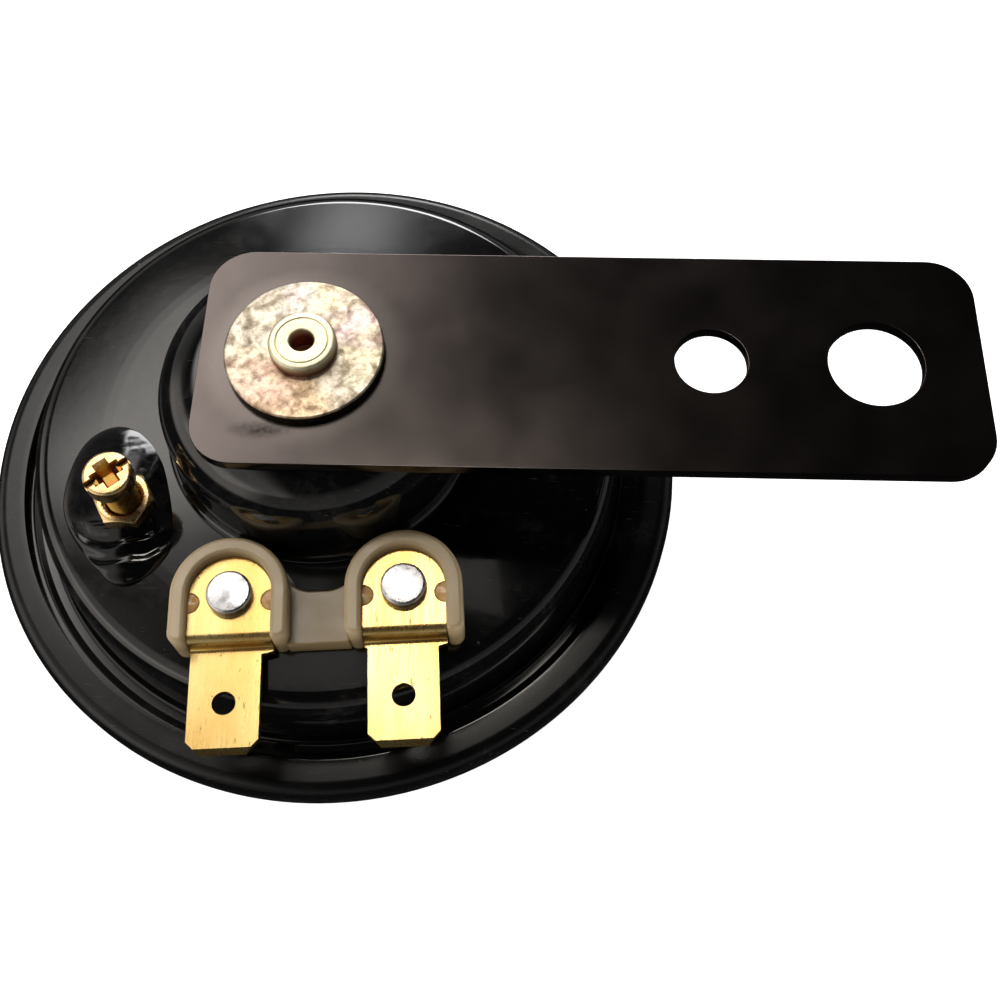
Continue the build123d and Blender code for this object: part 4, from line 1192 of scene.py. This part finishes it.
class HORN_OT_rivets(Operator):
    """Turn the two terminal rivets, each as long as what it holds"""

    bl_idname = "horn.rivets"
    bl_label = "Terminal rivets"

    def execute(self, context):
        s = context.scene.horn_terminal
        material = bright_rivet()
        for side in ("left", "right"):
            node = "terminal_rivet_" + side
            head = across(node) / 2
            foot = bottom_of(node)
            tail = foot + s.rivet_tail
            points = [
                (0, RIVET_TOP),
                (head, RIVET_TOP),
                (head, -s.base_level),
                (s.rivet_shank, -s.base_level),
                (s.rivet_shank, tail),
                (s.tail_radius, tail),
                (s.tail_radius, foot),
                (0, foot),
            ]
            # both edges of the head, then both of the tail
            rounding = {1: 0.28 * MM, 2: 0.1 * MM, 5: 0.1 * MM, 6: 0.35 * MM}
            rivet = turned("rivet_" + side, points, rounding, RIVETS[side], SMALL_ROUND, 5)
            finish_piece(rivet, material, "bright_rivet", node)
        return {"FINISHED"}


def carrier_pocket(s):
    """One arched pocket with its floor, round a rivet at the origin."""
    inner = s.base_width / 2 + FIT
    outer = inner + s.pocket_wall
    reach = s.pocket_reach
    arch = [
        (-outer, -reach),
        (-outer, outer),
        (outer, outer),
        (outer, -reach),
        (inner, -reach),
        (inner, inner),
        (-inner, inner),
        (-inner, -reach),
    ]
    rounding = {0: s.pocket_corner, 1: outer, 2: outer, 3: s.pocket_corner, 5: inner, 6: inner}
    wall = prism("pocket_wall", arch, FLANGE_LEVEL, s.pocket_rise - s.base_level, rounding, 16)
    break_edges(wall, s.pocket_edge, 4, 40)
    bed = inner + OVERLAP
    end = s.sheet - s.base_reach + FIT
    plan = [(-bed, end), (-bed, bed), (bed, bed), (bed, end)]
    level = -s.base_level - s.sheet
    floor = prism("pocket_floor", plan, FLANGE_LEVEL, level, {1: bed, 2: bed}, 16)
    combine(wall, floor, "UNION")
    return wall


def carrier_bridge(s):
    """The low bridge in its place between the pockets, with fillets where it runs into them."""
    far = -s.pocket_reach
    near = s.bridge_width - s.pocket_reach
    half = ROW.length / 2 - (s.base_width / 2 + FIT + s.pocket_wall) + 3 * OVERLAP
    fillet = s.bridge_fillet
    web = [
        (-half, far),
        (half, far),
        (half, near + fillet),
        (half - fillet, near),
        (fillet - half, near),
        (-half, near + fillet),
    ]
    # each corner turns by 45 degrees, so that its round starts and ends where the fillet does
    curve = fillet / math.tan(math.radians(45 / 2))
    bridge = prism("terminal_carrier", web, FLANGE_LEVEL, -s.bridge_level, {3: curve, 4: curve}, 8)
    break_edges(bridge, s.bridge_edge, 3, 60)
    return place(bridge, (RIVETS["left"] + RIVETS["right"]) / 2, ROW_TURN)


class HORN_OT_carrier(Operator):
    """Mould the nylon carrier: two arched pockets and the bridge between them"""

    bl_idname = "horn.carrier"
    bl_label = "Terminal carrier"

    def execute(self, context):
        s = context.scene.horn_terminal
        shell = context.scene.horn_shell
        foot = FLANGE_LEVEL - PAST
        left = carrier_pocket(s)
        carrier = carrier_bridge(s)
        right = copy_of(left, "pocket_right")
        place(right, RIVETS["right"], ROW_TURN)
        place(left, RIVETS["left"], ROW_TURN)
        combine(carrier, left, "UNION")
        combine(carrier, right, "UNION")
        first = shell.boss_radius - PAST
        last = shell.shoulder_radius + 2 * PAST
        bowl = [
            (first, bowl_level(shell, first)),
            (last, bowl_level(shell, last)),
            (last, foot),
            (first, foot),
        ]
        combine(carrier, turned("bowl_below", bowl, {}, closed=True))
        for rivet in RIVETS.values():
            combine(carrier, drum("rivet_bore", s.rivet_shank + FIT, foot, 0, rivet, HOLE_ROUND))
        finish_piece(carrier, natural_nylon(), "natural_nylon", "terminal_insulator", smooth=40)
        return {"FINISHED"}


class HORN_OT_studs(Operator):
    """Stake the four studs that hold the terminals in their pockets"""

    bl_idname = "horn.studs"
    bl_label = "Staked studs"

    def execute(self, context):
        s = context.scene.horn_terminal
        material = staked_nylon()
        stake = s.notch - 0.03 * MM
        floor = -s.base_level - s.sheet
        crown = -s.base_level + s.stud_rise
        # a low dome, rounded where it meets the stud's side
        points = [(0, crown + 0.05 * MM), (stake, crown - 0.1 * MM), (stake, floor), (0, floor)]
        stud = turned("stud", points, {1: 0.2 * MM}, (0, 0), 40, 4)
        for side in ("left", "right"):
            for hand, word in ((-1, "outer"), (1, "inner")):
                piece = copy_of(stud, "stud_{}_{}".format(side, word))
                piece.location = (hand * s.base_width / 2, -s.notch_back, 0)
                place(piece)
                place(piece, RIVETS[side], ROW_TURN)
                finish_piece(piece, material, "natural_nylon", "terminal_insulator")
        bpy.data.objects.remove(stud)
        return {"FINISHED"}


def thread_ridge(s, root, neck):
    """The screw's thread from its head to its nut, as one solid ridge."""
    turns = round((neck - NUT_TOP) / s.pitch) + 2
    inner = root - OVERLAP
    foot = neck - (turns + 0.5) * s.pitch
    gap = 0.04 * s.pitch
    flank = [
        (inner, foot + gap),
        (s.thread / 2, foot + s.pitch / 2),
        (inner, foot + s.pitch - gap),
    ]
    ridge = draw_line("thread", flank, closed=True)
    leave()
    apply_modifier(ridge, "SCREW", screw_offset=s.pitch, iterations=turns, steps=40, render_steps=40)
    edit(ridge)
    bpy.ops.mesh.select_all(action="DESELECT")
    bpy.ops.mesh.select_non_manifold()
    bpy.ops.mesh.edge_face_add()
    close_seams()
    leave()
    return ridge


class HORN_OT_screw(Operator):
    """Turn and thread the adjusting screw, and cut its slot and cross recess"""

    bl_idname = "horn.screw"
    bl_label = "Adjusting screw"

    def execute(self, context):
        s = context.scene.horn_screw
        head = across("adjusting_screw") / 2
        neck = SCREW_TOP - s.head_height
        root = s.thread / 2 - s.thread_depth
        points = [
            (0, SCREW_TOP),
            (head, SCREW_TOP),
            (head, neck),
            (root, neck),
            (root, SCREW_FOOT),
            (0, SCREW_FOOT),
        ]
        # both edges of the head, then the tip
        rounding = {1: s.head_edge, 2: 0.12 * MM, 4: 0.3 * MM}
        screw = turned("adjusting_screw_cut", points, rounding, (0, 0), FINE_ROUND, 5)
        combine(screw, thread_ridge(s, root, neck), "UNION")
        plan = oblong(-head - PAST, head + PAST, s.slot_width / 2)
        slot = prism("driver_slot", plan, SCREW_TOP - s.slot_depth, SCREW_TOP + PAST)
        place(slot, turn=s.slot_turn)
        combine(screw, slot)
        plan = oblong(-s.recess_span / 2, s.recess_span / 2, s.recess_width / 2)
        for quarter in (0, 1):
            arm = prism("cross_arm", plan, SCREW_TOP - s.recess_depth, SCREW_TOP + OVERLAP)
            # the arms narrow towards the recess's floor, as the driver's tip does
            edit(arm)
            pick(arm, lambda co: co.z < SCREW_TOP)
            bpy.ops.transform.resize(value=(0.35, 0.7, 1), center_override=(0, 0, 0))
            leave()
            place(arm, turn=s.slot_turn + quarter * math.pi / 2)
            combine(screw, arm)
        place(screw, SCREW)
        zinc = yellow_zinc("yellow_zinc_screw", head - 0.12 * MM)
        finish_piece(screw, zinc, "zinc_fastener", "adjusting_screw", edge=s.edge, smooth=30)
        return {"FINISHED"}


class HORN_OT_lock_nut(Operator):
    """Cut the thin hexagon nut, chamfer its corners and countersink its thread"""

    bl_idname = "horn.lock_nut"
    bl_label = "Lock nut"

    def execute(self, context):
        s = context.scene.horn_screw
        corner = s.nut_flats / math.sqrt(3)
        nut = start(
            "lock_nut_cut",
            bpy.ops.mesh.primitive_cylinder_add,
            vertices=6,
            radius=corner,
            depth=NUT_TOP - NUT_FOOT,
            location=(0, 0, (NUT_TOP + NUT_FOOT) / 2),
        )
        place(nut, turn=math.pi / 6)
        face = s.nut_flats / 2 - 0.1 * MM
        outer = corner + 0.01 * MM
        points = [
            (0, NUT_FOOT),
            (face, NUT_FOOT),
            (outer, NUT_FOOT + s.nut_chamfer),
            (outer, NUT_TOP - s.nut_chamfer),
            (face, NUT_TOP),
            (0, NUT_TOP),
        ]
        combine(nut, turned("nut_chamfers", points, {}, (0, 0), FINE_ROUND), "INTERSECT")
        bore = s.thread / 2 + 0.03 * MM
        points = [
            (0, NUT_FOOT - PAST),
            (bore, NUT_FOOT - PAST),
            (bore, NUT_TOP - s.nut_mouth),
            (bore + s.nut_mouth + OVERLAP, NUT_TOP + OVERLAP),
            (0, NUT_TOP + OVERLAP),
        ]
        combine(nut, turned("nut_bore", points, {}, (0, 0), SMALL_ROUND))
        place(nut, SCREW)
        zinc = yellow_zinc("yellow_zinc_nut", s.thread / 2 + 0.2 * MM)
        finish_piece(nut, zinc, "zinc_fastener", "lock_nut", edge=s.edge, smooth=30)
        return {"FINISHED"}


def sag_into_folds(run, level):
    """Raise rings on the run below the screw, about a point above it, where it sagged into folds."""
    edit(run)
    group = run.vertex_groups.new(name="folds")
    run.vertex_groups.active = group
    for along, share in SEALANT_FOLDS:
        end = along * MM
        pick(run, lambda co: co.y < end)
        bpy.context.tool_settings.vertex_group_weight = share
        bpy.ops.object.vertex_group_assign()
    leave()
    rings = bpy.data.textures.new("sagged_folds", "WOOD")
    rings.wood_type = "RINGNOISE"
    rings.noise_basis_2 = "SIN"
    rings.noise_scale = 0.5
    rings.turbulence = 3.0
    guide = bpy.data.objects.new("fold_guide", None)
    guide.location = (*FOLD_CENTRE, level)
    guide.scale = [FOLD_GUIDE] * 3
    bpy.context.scene.collection.objects.link(guide)
    bpy.context.view_layer.update()
    apply_modifier(
        run,
        "DISPLACE",
        texture=rings,
        texture_coords="OBJECT",
        texture_coords_object=guide,
        vertex_group="folds",
        strength=FOLD_HEIGHT,
        direction="Z",
    )
    bpy.data.objects.remove(guide)
    run.vertex_groups.clear()


class HORN_OT_sealant(Operator):
    """Lay the hardened sealant round the nut as a raised, uneven run"""

    bl_idname = "horn.sealant"
    bl_label = "Sealant"

    def execute(self, context):
        s = context.scene.horn_screw
        shell = context.scene.horn_shell
        seat = bowl_level(shell, shell.boss_radius + s.sealant_reach)
        base = bottom_of("screw_sealant")
        outline = [(x * s.sealant_width, y * s.sealant_length) for x, y in SEALANT_OUTLINE]
        run = prism("locking_sealant_run", outline, base, seat - OVERLAP)
        edit(run)
        bpy.ops.mesh.select_mode(type="FACE")
        pick_top(run, seat - 0.5 * MM)
        for rise, share in SEALANT_MOUND:
            bpy.ops.mesh.extrude_region_move(TRANSFORM_OT_translate={"value": (0, 0, rise * MM)})
            bpy.ops.transform.resize(value=(share, share, 1), center_override=(0, 0, 0))
        bpy.ops.mesh.poke()
        close_seams()
        leave()
        apply_modifier(run, "SUBSURF", levels=4, render_levels=4)
        ripple = bpy.data.textures.new("brush_ripple", "CLOUDS")
        ripple.noise_scale = 2.6 * MM
        apply_modifier(
            run, "DISPLACE", texture=ripple, texture_coords="LOCAL", strength=0.05 * MM, direction="Z"
        )
        sag_into_folds(run, seat)
        place(run, SCREW)
        # it stops short of the boss's foot
        reach = shell.boss_radius + shell.boss_foot + 0.1 * MM
        combine(run, drum("boss_clearance", reach, base - PAST, 0, AXIS, ROUND))
        finish_piece(run, locking_sealant(), "black_sealant", "screw_sealant", smooth=60)
        return {"FINISHED"}


class HORN_OT_inner_parts(Operator):
    """Give the pieces inside the shells their finishes"""

    bl_idname = "horn.inner_parts"
    bl_label = "Inner parts"

    def execute(self, context):
        finishes = {
            plain_finish("blued_spring_steel", "#7C7F85", "#A9ACB0", 1.2, (0.3, 0.42)): (
                "diaphragm",
                "tone_disc",
            ),
            plain_finish("soft_iron", "#6A6661", "#8D8983", 0.8, (0.4, 0.55)): (
                "flux_ring",
                "armature",
                "diaphragm_spacer",
            ),
            plain_finish("pressed_fibre_gasket", "#2A2723", "#453F38", 0.4, (0.7, 0.85), 0.0, 0.02): (
                "rear_gasket",
                "front_gasket",
            ),
            plain_finish("phenolic_moulding", "#3A2318", "#54372A", 0.5, (0.35, 0.5), 0.0, 0.01): (
                "coil_bobbin",
                "inner_insulator",
                "arm_spacer",
                "adjuster_button",
            ),
            plain_finish("enamelled_copper_wire", "#7A3518", "#B5622F", 0.6, (0.25, 0.35)): (
                "coil_winding",
                "coil_lead_start",
                "coil_lead_end",
            ),
            plain_finish("phosphor_bronze_strip", "#A0673A", "#C58A55", 0.7, (0.28, 0.4)): (
                "moving_contact_arm",
                "fixed_contact_arm",
            ),
            plain_finish("silver_contact", "#B9BABD", "#DCDCDE", 0.4, (0.25, 0.35)): (
                "moving_contact",
                "fixed_contact",
            ),
            plain_finish("tinned_steel_rivet", "#A9AAAE", "#CFCFD2", 0.6, (0.25, 0.38)): ("stack_rivet",),
            rolled_brass(): ("coil_tag",),
        }
        for material, nodes in finishes.items():
            for node in nodes:
                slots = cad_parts[node].data.materials
                slots.clear()
                slots.append(material)
        return {"FINISHED"}


# Light panels round the horn. The level ones hang 1 m above it and the wall stands at its front left.
# The key and the top give the bowl its soft sheens, the low one lights the flat brass, the back one
# gleams in the sealant, and the others are dim reflections at the sides.
# Name, place from its axis, width and depth in metres, turn in degrees or None to face the horn,
# radiance, share of each half that fades out, colour
PANELS = (
    ("key_panel", (-0.465, 0.66, 1.0), (0.82, 0.92), -22.0, 3.4, (0.8, 0.6), "#FFFAF4"),
    ("top_panel", (-0.21, 1.20, 1.0), (0.44, 0.50), 0.0, 2.8, (0.95, 0.8), "#FFFFFF"),
    ("low_panel", (-0.20, 0.34, 1.0), (0.56, 0.16), 0.0, 18.5, (0.5, 0.7), "#FFF8EC"),
    ("back_panel", (-0.14, 2.05, 1.0), (0.92, 1.50), 0.0, 14.0, (0.3, 0.3), "#FFFFFF"),
    ("side_panel", (-1.65, -0.90, 1.0), (2.70, 2.60), 0.0, 0.7, (0.3, 0.3), "#FFF9F2"),
    ("wall_panel", (-1.15, -0.30, 0.35), (2.60, 0.90), None, 0.9, (0.5, 0.5), "#FFF6EC"),
    ("window_panel", (0.10, 0.23, 1.0), (0.12, 0.14), 0.0, 0.5, (0.06, 0.06), "#FFFAF4"),
    ("door_panel", (-0.16, 0.075, 1.0), (0.20, 0.11), 0.0, 0.5, (0.1, 0.1), "#FFFAF4"),
)
FLOOR_SIZE = 40.0              # metres, so that its edge is never seen
LENS = 44.386                  # millimetres, on a sensor 36 mm wide
CAMERA_PLACE = (-0.030725, -0.058008, 0.094601)
CAMERA_TURN = (0.440710816, 0.0105243285, 0.025581759)


def soft_panel(name, away, size, turn, radiance, fade, colour):
    """An area light whose light fades towards its edges."""
    data = bpy.data.lights.new(name, "AREA")
    data.shape = "RECTANGLE"
    data.size, data.size_y = size
    data.energy = radiance * math.pi * data.size * data.size_y
    data.color = linear(colour)
    data.use_nodes = True
    spot = add_node(data, "NewGeometry").outputs["Parametric"]
    spread = add_node(
        data, "VectorMath", {0: spot, 1: (2, 2, 0), 2: (-1, -1, 0)}, operation="MULTIPLY_ADD"
    )
    spread = add_node(data, "VectorMath", {0: spread}, operation="ABSOLUTE")
    sides = add_node(data, "SeparateXYZ", {"Vector": spread})
    falls = [
        add_node(
            data,
            "MapRange",
            {"Value": sides.outputs[side], "From Min": 1.0, "From Max": 1.0 - share},
            interpolation_type="SMOOTHSTEP",
        )
        for side, share in zip("XY", fade)
    ]
    both = add_node(data, "Math", {0: falls[0], 1: falls[1]}, operation="MULTIPLY")
    glow = data.node_tree.nodes["Emission"]
    data.node_tree.links.new(both.outputs["Value"], glow.inputs["Strength"])
    lamp = bpy.data.objects.new(name, data)
    lamp.location = AXIS.to_3d() + Vector(away)
    if turn is None:
        lamp.rotation_euler = (-Vector(away)).to_track_quat("-Z", "Y").to_euler()
    else:
        lamp.rotation_euler.z = math.radians(turn)
    bpy.context.scene.collection.objects.link(lamp)


def lit_table():
    """White acrylic table lit from below: an even, pale ground."""
    material, here = new_material("lit_white_acrylic", Roughness=0.9, Emission_Strength=1.0)
    cloud = add_node(material, "TexNoise", {"Vector": here, "Scale": each(40), "Detail": 3.0})
    tone = add_node(material, "ValToRGB", {"Fac": cloud}, stops=((0.3, "#FAFAFA"), (0.7, "#FFFFFF")))
    drive(material, Base_Color=tone, Emission_Color=tone)
    return material


class HORN_OT_stage(Operator):
    """Set the floor, the soft lights and the camera"""

    bl_idname = "horn.stage"
    bl_label = "Stage"

    def execute(self, context):
        scene = context.scene
        scene.view_settings.view_transform = "Standard"
        plane = bpy.ops.mesh.primitive_plane_add
        floor = start("studio_floor", plane, size=FLOOR_SIZE, location=(0, 0, FRONT_FACE))
        place(floor)
        floor.data.materials.append(lit_table())
        floor.visible_glossy = False
        for panel in PANELS:
            soft_panel(*panel)
        world = bpy.data.worlds.new("dim_studio")
        world.use_nodes = True
        towards = add_node(world, "TexCoord").outputs["Object"]
        level = add_node(world, "SeparateXYZ", {"Vector": towards}).outputs["Z"]
        # the walls start a little below the horizon
        level = add_node(world, "Math", {0: level, 1: 0.01}, operation="ADD")
        # pale walls low down, a dark ceiling and nothing from below the table
        glow = add_node(
            world,
            "ValToRGB",
            {"Fac": level},
            stops=((0.002, "#202020"), (0.006, "#9B9996"), (0.43, "#858380"), (0.63, "#202020")),
        )
        sky = world.node_tree.nodes["Background"]
        world.node_tree.links.new(glow.outputs["Color"], sky.inputs["Color"])
        scene.world = world
        lens = bpy.data.cameras.new("studio_camera")
        lens.sensor_width = 36
        lens.lens = LENS
        lens.clip_start = 0.01
        camera = bpy.data.objects.new("studio_camera", lens)
        camera.location = CAMERA_PLACE
        camera.rotation_euler = CAMERA_TURN
        scene.collection.objects.link(camera)
        scene.camera = camera
        return {"FINISHED"}


STEPS = (
    HORN_OT_stage,
    HORN_OT_rear_shell,
    HORN_OT_front_shell,
    HORN_OT_bracket,
    HORN_OT_washer,
    HORN_OT_core,
    HORN_OT_terminals,
    HORN_OT_rivets,
    HORN_OT_carrier,
    HORN_OT_studs,
    HORN_OT_screw,
    HORN_OT_lock_nut,
    HORN_OT_sealant,
    HORN_OT_inner_parts,
)
GROUPS = {
    "horn_shell": HornShellSizes,
    "horn_bracket": HornBracketSizes,
    "horn_terminal": HornTerminalSizes,
    "horn_screw": HornScrewSizes,
    "horn_colours": HornColours,
}


class HORN_PT_panel(Panel):
    """Steps, sizes and colours of the horn"""

    bl_idname = "HORN_PT_panel"
    bl_label = "Disc horn"
    bl_space_type = "VIEW_3D"
    bl_region_type = "UI"
    bl_category = "Horn"

    def draw(self, context):
        for step in STEPS:
            self.layout.operator(step.bl_idname)
        for name in GROUPS:
            group = getattr(context.scene, name)
            column = self.layout.column(align=True)
            for one in group.bl_rna.properties:
                if one.identifier not in {"rna_type", "name"}:
                    column.prop(group, one.identifier)


def register():
    for kind in (*GROUPS.values(), *STEPS, HORN_PT_panel):
        bpy.utils.register_class(kind)
    for name, kind in GROUPS.items():
        setattr(bpy.types.Scene, name, PointerProperty(type=kind))


def unregister():
    for name in GROUPS:
        delattr(bpy.types.Scene, name)
    for kind in reversed((*GROUPS.values(), *STEPS, HORN_PT_panel)):
        bpy.utils.unregister_class(kind)


def main():
    register()
    for step in STEPS:
        group, name = step.bl_idname.split(".")
        getattr(getattr(bpy.ops, group), name)()


if __name__ == "__main__":
    main()
